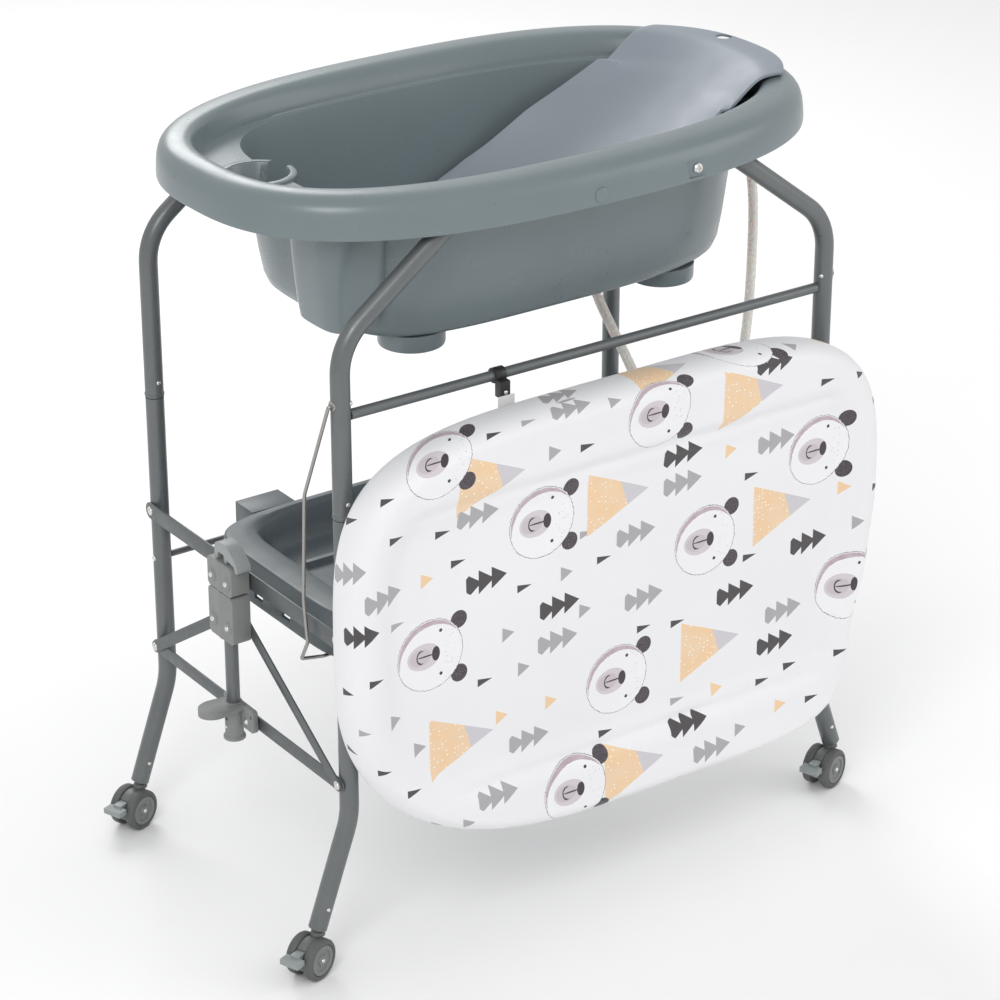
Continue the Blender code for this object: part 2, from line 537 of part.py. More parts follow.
# ---------------------------------------------------------------- casters, drawn about their swivel axis with x trailing
cheek = [(TRAIL + .0228 * math.cos(math.radians(-20 + 220 * k / 12)), R_WHEEL + .0228 * math.sin(math.radians(-20 + 220 * k / 12))) for k in range(13)]
fork = flat("fork", cheek, "y", -.0062, .0062)
join(fork, turned("neck", [(.0038, .0700), (.0040, .0505), (.0080, .0505), (.0088, .0472), (.0060, .0464), (.0060, .0300)], sides=14))
cut(fork, rod("axle_hole", (TRAIL, 0, R_WHEEL), "y", .0034, -.03, .03, 12), box("brake_slot", (TRAIL + .0160, -.010, .0285), (TRAIL + .0300, .010, .0420)))
wheel = rod("wheel", (TRAIL, 0, R_WHEEL), "y", .0030, -.0110, .0110, 10)
for sy in (-1, 1):
    disc = turned("disc_%d" % sy, [(.0100, .0192), (.0215, .0186), (R_WHEEL, .0156), (R_WHEEL, .0086), (.0215, .0066)], sides=22)
    disc.matrix_world = Matrix.Translation((TRAIL, 0, R_WHEEL)) @ Matrix.Rotation(math.radians(-90 * sy), 4, 'X')
    join(wheel, disc)
brake = box("brake", (TRAIL + .0165, -.0056, .0306), (TRAIL + .0300, .0056, .0400), .001)
join(brake, box("brake_pad", (TRAIL + .0268, -.0125, .0306), (TRAIL + .0400, .0125, .0375), .0022))
for key, ob in (("caster_fork", fork), ("caster_wheel", wheel), ("caster_brake", brake)):
    me = evaluated_mesh(ob)
    me.transform(ob.matrix_world)
    bpy.data.objects.remove(ob, do_unlink=True)
    for end, sy in ENDS:
        for side, sx in SIDES:
            copy = add("%s_%s_%s" % (key, end, side), me)
            copy.matrix_world = Matrix.Translation((sx * X_FOOT, sy * HY, 0)) @ Matrix.Rotation(math.pi + YAW, 4, 'Z')

# ---------------------------------------------------------------- materials
MATERIALS = {                    # colour, roughness, metallic
    "frame_paint": ((.15, .16, .165), .35, .3), "link_paint": ((.13, .145, .15), .4, .3), "bracket_plastic": ((.24, .245, .24), .45, 0),
    "lever_plastic": ((.33, .35, .35), .4, 0), "bath_plastic": ((.16, .20, .21), .35, 0), "support_plastic": ((.30, .33, .37), .4, 0),
    "plug_rubber": ((.5, .5, .5), .7, 0), "white_plastic": ((.8, .8, .78), .5, 0), "vinyl": ((.85, .85, .82), .3, 0), "zinc": ((.75, .75, .75), .3, 1),
    "tray_plastic": ((.11, .13, .14), .45, 0), "board": ((.6, .6, .6), .6, 0), "pad_cloth": ((.80, .80, .82), .7, 0), "webbing": ((.85, .85, .85), .9, 0),
    "black_plastic": ((.04, .04, .04), .4, 0), "caster_plastic": ((.16, .16, .16), .5, 0), "brake_plastic": ((.30, .33, .33), .45, 0)}
WORN_BY = (("frame_paint", ("hoop", "leg", "rail", "rod", "post")), ("link_paint", ("link", "brace")), ("frame_paint", ("hanger",)),
           ("bracket_plastic", ("bracket", "clamp")), ("lever_plastic", ("release",)), ("bath_plastic", ("bathtub", "hook")), ("support_plastic", ("support",)),
           ("plug_rubber", ("plug",)), ("white_plastic", ("spout",)), ("vinyl", ("hose",)), ("zinc", ("screw",)), ("tray_plastic", ("storage",)),
           ("board", ("board_base",)), ("pad_cloth", ("pad",)), ("webbing", ("strap",)), ("black_plastic", ("clip",)), ("caster_plastic", ("fork", "wheel")),
           ("brake_plastic", ("caster_brake",)))
made = {}
for name, (colour, rough, metal) in MATERIALS.items():
    mat = bpy.data.materials.new(name)
    mat.use_nodes = True
    shader = mat.node_tree.nodes["Principled BSDF"]
    shader.inputs["Base Color"].default_value = (*colour, 1)
    shader.inputs["Roughness"].default_value = rough
    shader.inputs["Metallic"].default_value = metal
    made[name] = mat
for ob in PARTS.objects:
    if ob.type != 'MESH':
        continue
    worn = [n for n, keys in WORN_BY if any(k in ob.name for k in keys)][-1]
    ob.data.materials.clear()
    ob.data.materials.append(made[worn])
    ob.data.shade_smooth()
    ob.data.set_sharp_from_angle(angle=math.radians(35))

# ---------------------------------------------------------------- moving pieces: each group's empty sits on its joint's axis
TREE = {"rear_frame": (None, (0, HY, 0)), "upper_rear_links": ("rear_frame", (0, HY, Z_UP)), "posts": ("upper_rear_links", (0, PY, Z_UP)),
        "upper_front_links": ("posts", (0, -PY, Z_UP)), "front_frame": ("upper_front_links", (0, -HY, Z_UP)), "lower_rear_links": ("rear_frame", (0, HY, Z_LOW)),
        "lower_front_links": ("front_frame", (0, -HY, Z_LOW)), "rear_braces": ("rear_frame", (0, HY, Z_LOW)), "front_braces": ("front_frame", (0, -HY, Z_LOW)),
        "sliding_brackets": ("posts", (0, 0, Z_BRACE)), "bath": ("rear_frame", (0, 0, .90)), "support": ("bath", (.2, 0, .80)), "plug": ("bath", (*DRAIN, .715)),
        "tray": ("rear_frame", (0, HY, Z_ROD)), "board": ("front_frame", (0, -HY, Z_RAIL))}
OWNER = {"rear_upper_hoop": "rear_frame", "rear_tray_rod": "rear_frame", "front_upper_hoop": "front_frame", "front_rail": "front_frame", "bathtub": "bath",
         "rim_screw": "bath", "drain_spout": "bath", "drain_hose": "bath", "hose_hook": "bath", "bath_support": "support", "drain_plug": "plug",
         "storage_tray": "tray", "board_base": "board", "changing_pad": "board", "board_strap": "board", "board_clip": "board"}
for side, sx in SIDES:
    TREE["lever_" + side] = ("posts", (sx * 0.361, 0.010, 0.4405))
    TREE["hanger_" + side] = ("front_frame", (sx * 0.346, -HY, 0.690))
    OWNER.update({"release_lever_" + side: "lever_" + side, "tray_hanger_" + side: "hanger_" + side, "post_" + side: "posts", "upper_bracket_" + side: "posts",
                  "foot_clamp_" + side: "posts", "sliding_bracket_" + side: "sliding_brackets"})
    for end, sy in ENDS:
        tag = "%s_%s" % (end, side)
        swivel = Vector((sx * X_FOOT, sy * HY, 0))
        trail = Vector((-math.cos(YAW), -math.sin(YAW), 0))
        TREE["caster_" + tag] = (end + "_frame", (*swivel.xy, .06))
        TREE["wheel_" + tag] = ("caster_" + tag, (*(swivel + trail * TRAIL).xy, R_WHEEL))
        TREE["brake_" + tag] = ("caster_" + tag, (*(swivel + trail * (TRAIL + .0185)).xy, .0353))
        OWNER.update({"caster_fork_" + tag: "caster_" + tag, "caster_wheel_" + tag: "wheel_" + tag, "caster_brake_" + tag: "brake_" + tag,
                      "%s_lower_leg_%s" % (end, side): end + "_frame", "upper_%s_link_%s" % (end, side): "upper_%s_links" % end,
                      "lower_%s_link_%s" % (end, side): "lower_%s_links" % end, "brace_%s_%s" % (end, side): end + "_braces"})
empties = {}
root = bpy.data.objects.new("whole", None)
root.location = ORIGIN
PARTS.objects.link(root)
for name, (parent, pivot) in TREE.items():
    e = bpy.data.objects.new("body_" + name, None)
    e.empty_display_size = 0.02
    PARTS.objects.link(e)
    e.parent = empties[parent][0] if parent else root
    base = empties[parent][1] if parent else Vector()
    e.location = Vector(pivot) - base
    empties[name] = (e, Vector(pivot))
for name, body in OWNER.items():
    ob = bpy.data.objects[name]
    e, pivot = empties[body]
    ob.parent = e
    ob.matrix_local = Matrix.Translation(-pivot) @ ob.matrix_world
for c in CUTTERS.objects:
    c.parent = root
    c.matrix_parent_inverse = Matrix.Identity(4)
bpy.context.view_layer.update()
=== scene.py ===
"""Looks of a folding baby changing table: bath on a tube frame with casters, tray, hanging padded board."""
import json
import math
import random

import bmesh
import bpy
from mathutils import Matrix, Vector, noise

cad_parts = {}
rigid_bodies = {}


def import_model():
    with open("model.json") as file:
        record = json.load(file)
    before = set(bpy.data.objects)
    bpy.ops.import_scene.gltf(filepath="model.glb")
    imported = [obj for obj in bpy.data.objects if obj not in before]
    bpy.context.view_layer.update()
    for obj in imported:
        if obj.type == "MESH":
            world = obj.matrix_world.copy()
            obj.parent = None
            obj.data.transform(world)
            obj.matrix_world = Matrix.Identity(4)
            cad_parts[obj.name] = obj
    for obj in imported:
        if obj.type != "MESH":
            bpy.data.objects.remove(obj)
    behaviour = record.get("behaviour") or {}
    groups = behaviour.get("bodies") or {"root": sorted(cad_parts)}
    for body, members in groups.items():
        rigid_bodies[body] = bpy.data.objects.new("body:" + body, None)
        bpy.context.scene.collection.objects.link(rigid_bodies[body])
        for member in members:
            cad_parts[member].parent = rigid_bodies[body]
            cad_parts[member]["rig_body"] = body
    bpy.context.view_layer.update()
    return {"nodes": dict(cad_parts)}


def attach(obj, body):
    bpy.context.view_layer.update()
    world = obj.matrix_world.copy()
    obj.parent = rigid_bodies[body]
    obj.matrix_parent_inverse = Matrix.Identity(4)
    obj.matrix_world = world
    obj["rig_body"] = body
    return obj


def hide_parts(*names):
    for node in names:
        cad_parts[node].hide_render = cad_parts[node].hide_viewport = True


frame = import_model()
NODES = frame["nodes"]

# ---------------------------------------------------------------- dimensions, in metres
HX, HY = 0.333, 0.204
R_TUBE = 0.011
Z_JOINT, Z_TOP = 0.556, 0.878
Z_RAIL, R_RAIL = 0.675, 0.006
Z_ROD, R_ROD = 0.348, 0.004
Z_UP, Z_LOW, Z_BRACE = 0.411, 0.2305, 0.355
PY = 0.016
LINKS_IN, LINKS_OUT = 0.3444, 0.3464
BRACES_IN, BRACES_OUT = 0.3468, 0.3488
X_POST, R_POST = 0.360, 0.008
BRACKET_IN, BRACKET_OUT = 0.3492, 0.3728
X_FOOT, Z_FOOT = 0.379, 0.055
R_WHEEL, TRAIL, YAW = 0.025, 0.014, math.radians(20)
CUP = (-0.296, 0.015, 0.035)
DRAIN = (0.150, 0.0)
SCREW = (0.114, 0.8740)
TRAY_Y = 0.008
BOARD_Z, BOARD_HX, BOARD_HZ = 0.392, 0.372, 0.264
STRAP_X = -0.130
ORIGIN = Vector((0.0139, 0.0207, 0.0))
SHIFT = Matrix.Translation(ORIGIN)
SIDES = (("left", -1), ("right", 1))
ENDS = (("front", -1), ("rear", 1))

# ---------------------------------------------------------------- camera
camera = bpy.data.objects.new("camera", bpy.data.cameras.new("camera"))
bpy.context.scene.collection.objects.link(camera)
bpy.context.scene.camera = camera
camera.data.sensor_width = 36
camera.data.lens = 119.03
CAMERA_AT, LOOKS_AT = Vector((-2.0270, -2.9127, 2.0805)), Vector((-0.0601, -0.1084, 0.4796))
camera.matrix_world = Matrix.Translation(CAMERA_AT) @ (LOOKS_AT - CAMERA_AT).to_track_quat('-Z',
    'Y').to_matrix().to_4x4()

# ---------------------------------------------------------------- modelling helpers
AXIS_TURN = {
    "x": Matrix(((0, 0, 1, 0), (1, 0, 0, 0), (0, 1, 0, 0), (0, 0, 0, 1))),
    "y": Matrix(((1, 0, 0, 0), (0, 0, -1, 0), (0, 1, 0, 0), (0, 0, 0, 1))),
    "z": Matrix.Identity(4),
}


def add(name, data):
    ob = bpy.data.objects.new(name, data)
    bpy.context.scene.collection.objects.link(ob)
    return ob


def from_bmesh(name, bm):
    """An object from a bmesh, which is freed."""
    me = bpy.data.meshes.new(name)
    bm.to_mesh(me)
    bm.free()
    return add(name, me)


def evaluated_mesh(ob):
    bpy.context.view_layer.update()
    dg = bpy.context.evaluated_depsgraph_get()
    return bpy.data.meshes.new_from_object(ob.evaluated_get(dg))


def curve_to_mesh(ob):
    me = evaluated_mesh(ob)
    bm = bmesh.new()
    bm.from_mesh(me)
    bmesh.ops.remove_doubles(bm, verts=bm.verts, dist=1e-6)
    bmesh.ops.recalc_face_normals(bm, faces=bm.faces)
    bm.to_mesh(me)
    bm.free()
    out = add(ob.name + "_m", me)
    out.matrix_world = ob.matrix_world.copy()
    bpy.data.objects.remove(ob, do_unlink=True)
    return out


def tube(name, points, radius, resolution=8):
    cu = bpy.data.curves.new(name, 'CURVE')
    cu.dimensions = '3D'
    cu.bevel_depth = radius
    cu.bevel_resolution = resolution
    cu.use_fill_caps = True
    sp = cu.splines.new('POLY')
    sp.points.add(len(points) - 1)
    for i, p in enumerate(points):
        sp.points[i].co = (*p, 1)
    return curve_to_mesh(add(name, cu))


def flat(name, outline, axis, low, high):
    cu = bpy.data.curves.new(name, 'CURVE')
    cu.dimensions = '2D'
    cu.fill_mode = 'BOTH'
    cu.extrude = (high - low) / 2
    sp = cu.splines.new('POLY')
    sp.use_cyclic_u = True
    sp.points.add(len(outline) - 1)
    for i, (u, v) in enumerate(outline):
        sp.points[i].co = (u, v, 0, 1)
    ob = add(name, cu)
    mid = (high + low) / 2
    ob.matrix_world = AXIS_TURN[axis] @ Matrix.Translation((0, 0, -mid if axis == "y" else mid))
    return curve_to_mesh(ob)


def turned(name, profile, centre=(0, 0, 0), facing=None, sides=48):
    """A turned solid; profile is (radius, height) from top to bottom. facing turns its +Z to a direction."""
    bm = bmesh.new()
    rows = []
    for r, h in profile:
        rows.append([bm.verts.new((r * math.cos(2 * math.pi * k / sides), r * math.sin(2 * math.pi * k / sides),
            h)) for k in range(sides)])
    for a, b in zip(rows, rows[1:]):
        for k in range(sides):
            bm.faces.new((a[k], a[(k + 1) % sides], b[(k + 1) % sides], b[k]))
    bm.faces.new(rows[0])
    bm.faces.new(rows[-1])
    bmesh.ops.recalc_face_normals(bm, faces=bm.faces)
    ob = from_bmesh(name, bm)
    turn = Vector(facing).to_track_quat('Z', 'Y').to_matrix().to_4x4() if facing else Matrix.Identity(4)
    ob.matrix_world = Matrix.Translation(centre) @ turn
    return ob


def rod(name, centre, facing, radius, low, high, sides=40):
    return turned(name, [(radius, high), (radius, low)], centre, facing, sides)


def box(name, low, high):
    me = bpy.data.meshes.new(name)
    low, high = Vector(low), Vector(high)
    bm = bmesh.new()
    bmesh.ops.create_cube(bm, size=1, matrix=Matrix.Translation((low + high) / 2) @ Matrix.Diagonal((*(high - low), 1)))
    bm.to_mesh(me)
    bm.free()
    return add(name, me)


def loft(name, rings):
    bm = bmesh.new()
    rows = [[bm.verts.new(p) for p in ring] for ring in rings]
    n = len(rows[0])
    for a, b in zip(rows, rows[1:]):
        for k in range(n):
            bm.faces.new((a[k], a[(k + 1) % n], b[(k + 1) % n], b[k]))
    bm.faces.new(rows[0])
    bm.faces.new(rows[-1])
    bmesh.ops.recalc_face_normals(bm, faces=bm.faces)
    return from_bmesh(name, bm)


def boolean(ob, other, operation):
    m = ob.modifiers.new(operation.lower(), 'BOOLEAN')
    m.object, m.operation, m.solver = other, operation, 'EXACT'
    ob.data = evaluated_mesh(ob)
    ob.modifiers.clear()
    bpy.data.objects.remove(other, do_unlink=True)


def cut(ob, *others):
    for other in others:
        boolean(ob, other, 'DIFFERENCE')
    return ob


def join(ob, *others):
    for other in others:
        boolean(ob, other, 'UNION')
    return ob


def arcs(points, radii, steps=16):
    pts = [Vector(p) for p in points]
    out = [pts[0]]
    for i in range(1, len(pts) - 1):
        p, r = pts[i], radii[i - 1]
        a, b = (pts[i - 1] - p).normalized(), (pts[i + 1] - p).normalized()
        half = a.angle(b) / 2
        t, c = r / math.tan(half), p + (a + b).normalized() * (r / math.sin(half))
        v0, v1 = p + a * t - c, p + b * t - c
        turn, axis = v0.angle(v1), v0.cross(v1).normalized()
        n = max(3, round(steps * turn / (math.pi / 2)))
        out += [c + Matrix.Rotation(turn * k / n, 3, axis) @ v0 for k in range(n + 1)]
    return out + [pts[-1]]


def smooth_path(points, spacing):
    pts = [Vector(p) for p in points]
    pts = [2 * pts[0] - pts[1]] + pts + [2 * pts[-1] - pts[-2]]
    out = []
    for i in range(1, len(pts) - 2):
        p0, p1, p2, p3 = pts[i - 1:i + 3]
        n = max(2, round((p2 - p1).length / spacing))
        for k in range(n):
            t = k / n
            out.append(0.5 * (2 * p1 + (p2 - p0) * t + (2 * p0 - 5 * p1 + 4 * p2 - p3) * t * t + (3 * p1 - p0 - 3 * p2 + p3) * t ** 3))
    return out + [pts[-2]]


def round_rect(u0, u1, v0, v1, r, steps=6):
    out = []
    for cu, cv, a0 in ((u1 - r, v1 - r, 0), (u0 + r, v1 - r, 90), (u0 + r, v0 + r, 180), (u1 - r, v0 + r, 270)):
        for k in range(steps + 1):
            a = math.radians(a0 + 90 * k / steps)
            out.append((cu + r * math.cos(a), cv + r * math.sin(a)))
    return out


def round_ended(p, q, r, steps=14):
    a0 = math.atan2(q[1] - p[1], q[0] - p[0])
    out = []
    for centre, start in ((q, a0 - math.pi / 2), (p, a0 + math.pi / 2)):
        for k in range(steps + 1):
            a = start + math.pi * k / steps
            out.append((centre[0] + r * math.cos(a), centre[1] + r * math.sin(a)))
    return out


def oval(left, right, half, n_left, n_right, z, count=168, centre_y=0.0):
    out = []
    for k in range(count):
        t = 2 * math.pi * (k + 0.5) / count
        c, s = math.cos(t), math.sin(t)
        reach, n = (left, n_left) if c < 0 else (right, n_right)
        out.append(Vector((math.copysign(abs(c) ** (2 / n), c) * reach,
            centre_y + math.copysign(abs(s) ** (2 / n), s) * half, z)))
    return out


def refined(rows, parts=3):
    """Rows of numbers with smooth in-between rows added."""
    rows = [rows[0]] + list(rows) + [rows[-1]]
    out = []
    for i in range(1, len(rows) - 2):
        for k in range(parts):
            t = k / parts
            new = []
            for p0, p1, p2, p3 in zip(*rows[i - 1:i + 3]):
                m1, m2 = (p2 - p0) / 2, (p3 - p1) / 2
                step = p2 - p1
                limit = lambda m: 0.0 if m * step <= 0 else math.copysign(min(abs(m), 3 * abs(step)), step)
                m1, m2 = limit(m1), limit(m2)
                new.append((2 * t ** 3 - 3 * t * t + 1) * p1 + (t ** 3 - 2 * t * t + t) * m1 + (3 * t * t - 2 * t ** 3) * p2 + (t ** 3 - t * t) * m2)
            out.append(tuple(new))
    return out + [tuple(rows[-2])]


def put(ob, name, material, nodes=(), body=None, bevel=0.0, segments=2, angle=35, mirror=False):
    """Finishes a piece: bevel, place in the row frame, material, smooth shading, body, replaced nodes."""
    if bevel:
        m = ob.modifiers.new("bevel", 'BEVEL')
        m.width, m.segments, m.limit_method, m.angle_limit = bevel, segments, 'ANGLE', math.radians(32)
        m.harden_normals = False
    me = evaluated_mesh(ob)
    me.transform(ob.matrix_world)
    if mirror:
        me.transform(Matrix.Scale(-1, 4, (1, 0, 0)))
        me.flip_normals()
    me.transform(SHIFT)
    me.materials.clear()
    me.materials.append(material)
    me.shade_smooth()
    me.set_sharp_from_angle(angle=math.radians(angle))
    out = add(name, me)
    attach(out, body or NODES[nodes[0]]["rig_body"])
    if nodes:
        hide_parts(*nodes)
    return out


def done(ob):
    bpy.data.objects.remove(ob, do_unlink=True)


# ---------------------------------------------------------------- materials
class Shader:
    """Small helper around one material's nodes."""

    def __init__(self, name, colour, rough, metallic=0.0):
        self.mat = bpy.data.materials.new(name)
        self.mat.use_nodes = True
        self.tree = self.mat.node_tree
        self.bsdf = self.tree.nodes["Principled BSDF"]
        self.bsdf.inputs["Base Color"].default_value = (*colour, 1)
        self.bsdf.inputs["Roughness"].default_value = rough
        self.bsdf.inputs["Metallic"].default_value = metallic
        self.colour = colour
        self.where = self.tree.nodes.new("ShaderNodeTexCoord").outputs["Object"]

    def link(self, a, b):
        self.tree.links.new(a, b)

    def feed(self, socket, value):
        if hasattr(value, "is_output"):
            self.link(value, socket)
        else:
            socket.default_value = value

    def math(self, op, a, b=None, c=None):
        n = self.tree.nodes.new("ShaderNodeMath")
        n.operation = op
        for socket, value in zip(n.inputs, (a, b, c)):
            if value is not None:
                self.feed(socket, value)
        return n.outputs[0]

    def vector(self, op, a, b=None, scale=None):
        n = self.tree.nodes.new("ShaderNodeVectorMath")
        n.operation = op
        self.feed(n.inputs[0], a)
        if b is not None:
            self.feed(n.inputs[1], b)
        if scale is not None:
            self.feed(n.inputs["Scale"], scale)
        return n.outputs["Value"] if op in ('DOT_PRODUCT', 'LENGTH', 'DISTANCE') else n.outputs["Vector"]

    def mix(self, factor, a, b):
        n = self.tree.nodes.new("ShaderNodeMix")
        n.data_type = 'RGBA'
        self.feed(n.inputs["Factor"], factor)
        colours = [s for s in n.inputs if s.type == 'RGBA']
        self.feed(colours[0], a)
        self.feed(colours[1], b)
        return [s for s in n.outputs if s.type == 'RGBA'][0]

    def noise(self, scale, detail=2.0, rough=0.5, where=None):
        n = self.tree.nodes.new("ShaderNodeTexNoise")
        self.link(where or self.where, n.inputs["Vector"])
        n.inputs["Scale"].default_value = scale
        n.inputs["Detail"].default_value = detail
        n.inputs["Roughness"].default_value = rough
        return n.outputs["Fac"]

    def wave(self, scale, direction, distortion=0.0, where=None):
        n = self.tree.nodes.new("ShaderNodeTexWave")
        self.link(where or self.where, n.inputs["Vector"])
        n.bands_direction = direction
        n.inputs["Scale"].default_value = scale
        n.inputs["Distortion"].default_value = distortion
        return n.outputs["Fac"]

    def range(self, value, low, high, to_low, to_high):
        n = self.tree.nodes.new("ShaderNodeMapRange")
        for i, v in enumerate((value, low, high, to_low, to_high)):
            self.feed(n.inputs[i], v)
        return n.outputs[0]

    def bump(self, height, strength, distance):
        n = self.tree.nodes.new("ShaderNodeBump")
        n.inputs["Strength"].default_value = strength
        n.inputs["Distance"].default_value = distance
        self.link(height, n.inputs["Height"])
        if self.bsdf.inputs["Normal"].links:
            self.link(self.bsdf.inputs["Normal"].links[0].from_socket, n.inputs["Normal"])
        self.link(n.outputs[0], self.bsdf.inputs["Normal"])

    def vary(self, amount, rough_low, rough_high, scale=9.0):
        """Slight unevenness of colour and gloss."""
        n = self.noise(scale, 3.0)
        dark = (*(c * (1 - amount) for c in self.colour), 1)
        light = (*(min(1, c * (1 + amount)) for c in self.colour), 1)
        self.link(self.mix(n, dark, light), self.bsdf.inputs["Base Color"])
        self.link(self.range(self.noise(scale * 3.1, 4.0), 0.3, 0.7, rough_low, rough_high),
            self.bsdf.inputs["Roughness"])


def moulded(name, colour, rough, grain=900.0, strength=0.12, coat=0.0):
    s = Shader(name, colour, rough)
    s.vary(0.06, rough * 0.88, rough * 1.12)
    s.bump(s.noise(grain, 2.0), strength, 0.0004)
    s.bump(s.noise(22.0, 1.0), 0.05, 0.002)
    s.bsdf.inputs["Coat Weight"].default_value = coat
    s.bsdf.inputs["Coat Roughness"].default_value = 0.3
    return s.mat


def painted(name, colour, rough, metallic):
    s = Shader(name, colour, rough, metallic)
    s.vary(0.08, rough * 0.8, rough * 1.15, 30.0)
    s.bump(s.noise(700.0, 3.0), 0.10, 0.0003)
    return s.mat


def brushed(name, colour, rough):
    s = Shader(name, colour, rough, 1.0)
    s.vary(0.12, rough * 0.7, rough * 1.3, 400.0)
    s.bump(s.noise(1500.0, 2.0), 0.15, 0.0002)
    return s.mat


def woven(name, colour, scale, rough=0.85):
    s = Shader(name, colour, rough)
    s.vary(0.08, rough * 0.9, 1.0, 60.0)
    across, along = s.wave(scale, 'X'), s.wave(scale, 'Z')
    s.bump(s.math('MULTIPLY', across, along), 0.5, 0.0004)
    s.bsdf.inputs["Sheen Weight"].default_value = 0.15
    return s.mat


FRAME = painted("frame_paint", (.150, .162, .166), .34, .35)
STRIP = painted("link_paint", (.115, .127, .132), .42, .35)
PLASTIC = moulded("bracket_plastic", (.225, .232, .228), .48)
LEVER = moulded("lever_plastic", (.30, .32, .32), .42)
BATH = moulded("bath_plastic", (.165, .205, .218), .30, 700.0, 0.10, 0.12)
SUPPORT = moulded("support_plastic", (.250, .285, .325), .46, 1100.0, 0.25)
RUBBER = moulded("plug_rubber", (.42, .43, .43), .7)
WHITE = moulded("white_plastic", (.80, .80, .77), .45)
TRAYP = moulded("tray_plastic", (.098, .118, .127), .42, 800.0, 0.12)
BLACK = moulded("black_plastic", (.018, .018, .019), .35)
HOUSING = moulded("caster_plastic", (.140, .146, .143), .45)
TYRE = moulded("caster_tyre", (.105, .108, .106), .62)
BRAKE = moulded("brake_plastic", (.28, .31, .31), .45)
HUB = moulded("hub_plastic", (.19, .197, .194), .45)
ZINC = brushed("zinc", (.72, .72, .70), .28)
STEEL = brushed("dark_steel", (.38, .37, .35), .35)
WEB = woven("webbing", (.78, .78, .77), 900.0)
DARKWEB = woven("dark_webbing", (.045, .043, .048), 900.0)
BOARD = woven("board_cloth", (.62, .62, .64), 500.0)
SHADOW = moulded("joint_shadow", (.02, .02, .02), .7)
vinyl = Shader("vinyl", (.86, .86, .82), .28)
vinyl.vary(0.03, .22, .34, 40.0)
vinyl.bsdf.inputs["Subsurface Weight"].default_value = 0.25
vinyl.bsdf.inputs["Transmission Weight"].default_value = 0.25
vinyl.bsdf.inputs["IOR"].default_value = 1.42
VINYL = vinyl.mat

# ---------------------------------------------------------------- drain hose, first of all
dx, dy = DRAIN
HOSE = smooth_path([(dx, dy, .6738), (dx + .004, dy - .004, .640), (0.178, -0.036, 0.560), (0.205, -0.062, 0.480),
    (0.252, -0.072, 0.434), (0.312, -0.062, 0.462),
                    (0.352, -0.044, 0.560), (0.372, -0.026, 0.700), (0.367, -0.020, 0.780), (0.3604, -0.020, 0.826),
                    (0.360, -0.020, 0.842)], 0.012)
hose = put(tube("hose_shape", HOSE, .0060, 6), "drain_hose_tube", VINYL, ["drain_hose"])
done(bpy.data.objects["hose_shape_m"])

# ---------------------------------------------------------------- frame tubes
for end, sy in ENDS:
    y = sy * HY
    path = arcs([(-HX, y, Z_JOINT), (-HX, y, 0.757), (-0.173, y, Z_TOP), (0.173, y, Z_TOP), (HX, y, 0.757),
        (HX, y, Z_JOINT)],
                [0.07, 0.06, 0.06, 0.07])
    hoop = tube("hoop", path, R_TUBE, 10)
    put(hoop, end + "_hoop_tube", FRAME, [end + "_upper_hoop"])
    done(hoop)
    for side, sx in SIDES:
        leg_path = arcs([(sx * HX, y, Z_JOINT - .0003), (sx * HX, y, 0.186), (sx * X_FOOT, y, Z_FOOT)], [0.10], 24)
        leg = tube("leg", leg_path, R_TUBE, 10)
        tag = "%s_%s" % (end, side)
        put(leg, "leg_tube_" + tag, FRAME, ["%s_lower_leg_%s" % (end, side)])
        done(leg)
        ring = turned("ring", [(R_TUBE - .0004, .0022), (R_TUBE + .0007, .0012), (R_TUBE + .0007, -.0012),
            (R_TUBE - .0004, -.0022)], (sx * HX, y, Z_JOINT + .0035))
        put(ring, "swage_%s" % tag, FRAME, body=end + "_frame")
        done(ring)
        # thin near-black ring at the joint of hoop and leg: painted shadow in the gap between them
        seam = turned("seam", [(R_TUBE + .00015, .0004), (R_TUBE + .00015, -.0004)], (sx * HX, y, Z_JOINT))
        put(seam, "leg_seam_shadow_%s" % tag, SHADOW, body=end + "_frame")
        done(seam)


def screw_head(name, at, facing, radius, body, material=None, washer=True):
    """A domed head, with a washer under it."""
    profile = [(radius * .15, radius * .52), (radius * .55, radius * .45), (radius * .9, radius * .2), (radius, 0),
        (radius, -.0012)]
    if washer:
        profile[-1:] = [(radius, .0001), (radius * 1.45, .0001), (radius * 1.5, -.0003), (radius * 1.5, -.0012)]
    head = turned("head", [(r, h + .0005) for r, h in profile], at, facing, 28)
    out = put(head, name, material or ZINC, body=body)
    done(head)
    return out


for end, sy in ENDS:
    for side, sx in SIDES:
        tag = "%s_%s" % (end, side)
        body = end + "_frame"
        screw_head("leg_screw_" + tag, (sx * HX, sy * HY - R_TUBE, Z_JOINT + .020), (0, -1, 0), .0026, body,
            washer=False)
        foot = Vector((sx * (X_FOOT - .0085), sy * HY - R_TUBE * .97, Z_FOOT + .026))
        screw_head("stem_screw_" + tag, foot, (0, -1, 0), .0024, body, washer=False)
for side, sx in SIDES:
    screw_head("rail_screw_" + side, (sx * (HX - R_TUBE * .8), -HY - R_TUBE * .62, Z_RAIL + .016),
        (-sx * .75, -.66, 0), .0026, "front_frame", washer=False)
    screw_head("rod_screw_" + side, (sx * (HX + R_TUBE), HY, Z_ROD), (sx, 0, 0), .0034, "rear_frame", washer=False)
    eye = turned("eye", [(.0052, .0010), (.0060, .0002), (.0060, -.0012), (.0052, -.0016)],
        (sx * (HX + R_TUBE), -HY, .690), (sx, 0, 0), 28)
    put(eye, "wire_eye_" + side, STEEL, body="front_frame")
    done(eye)

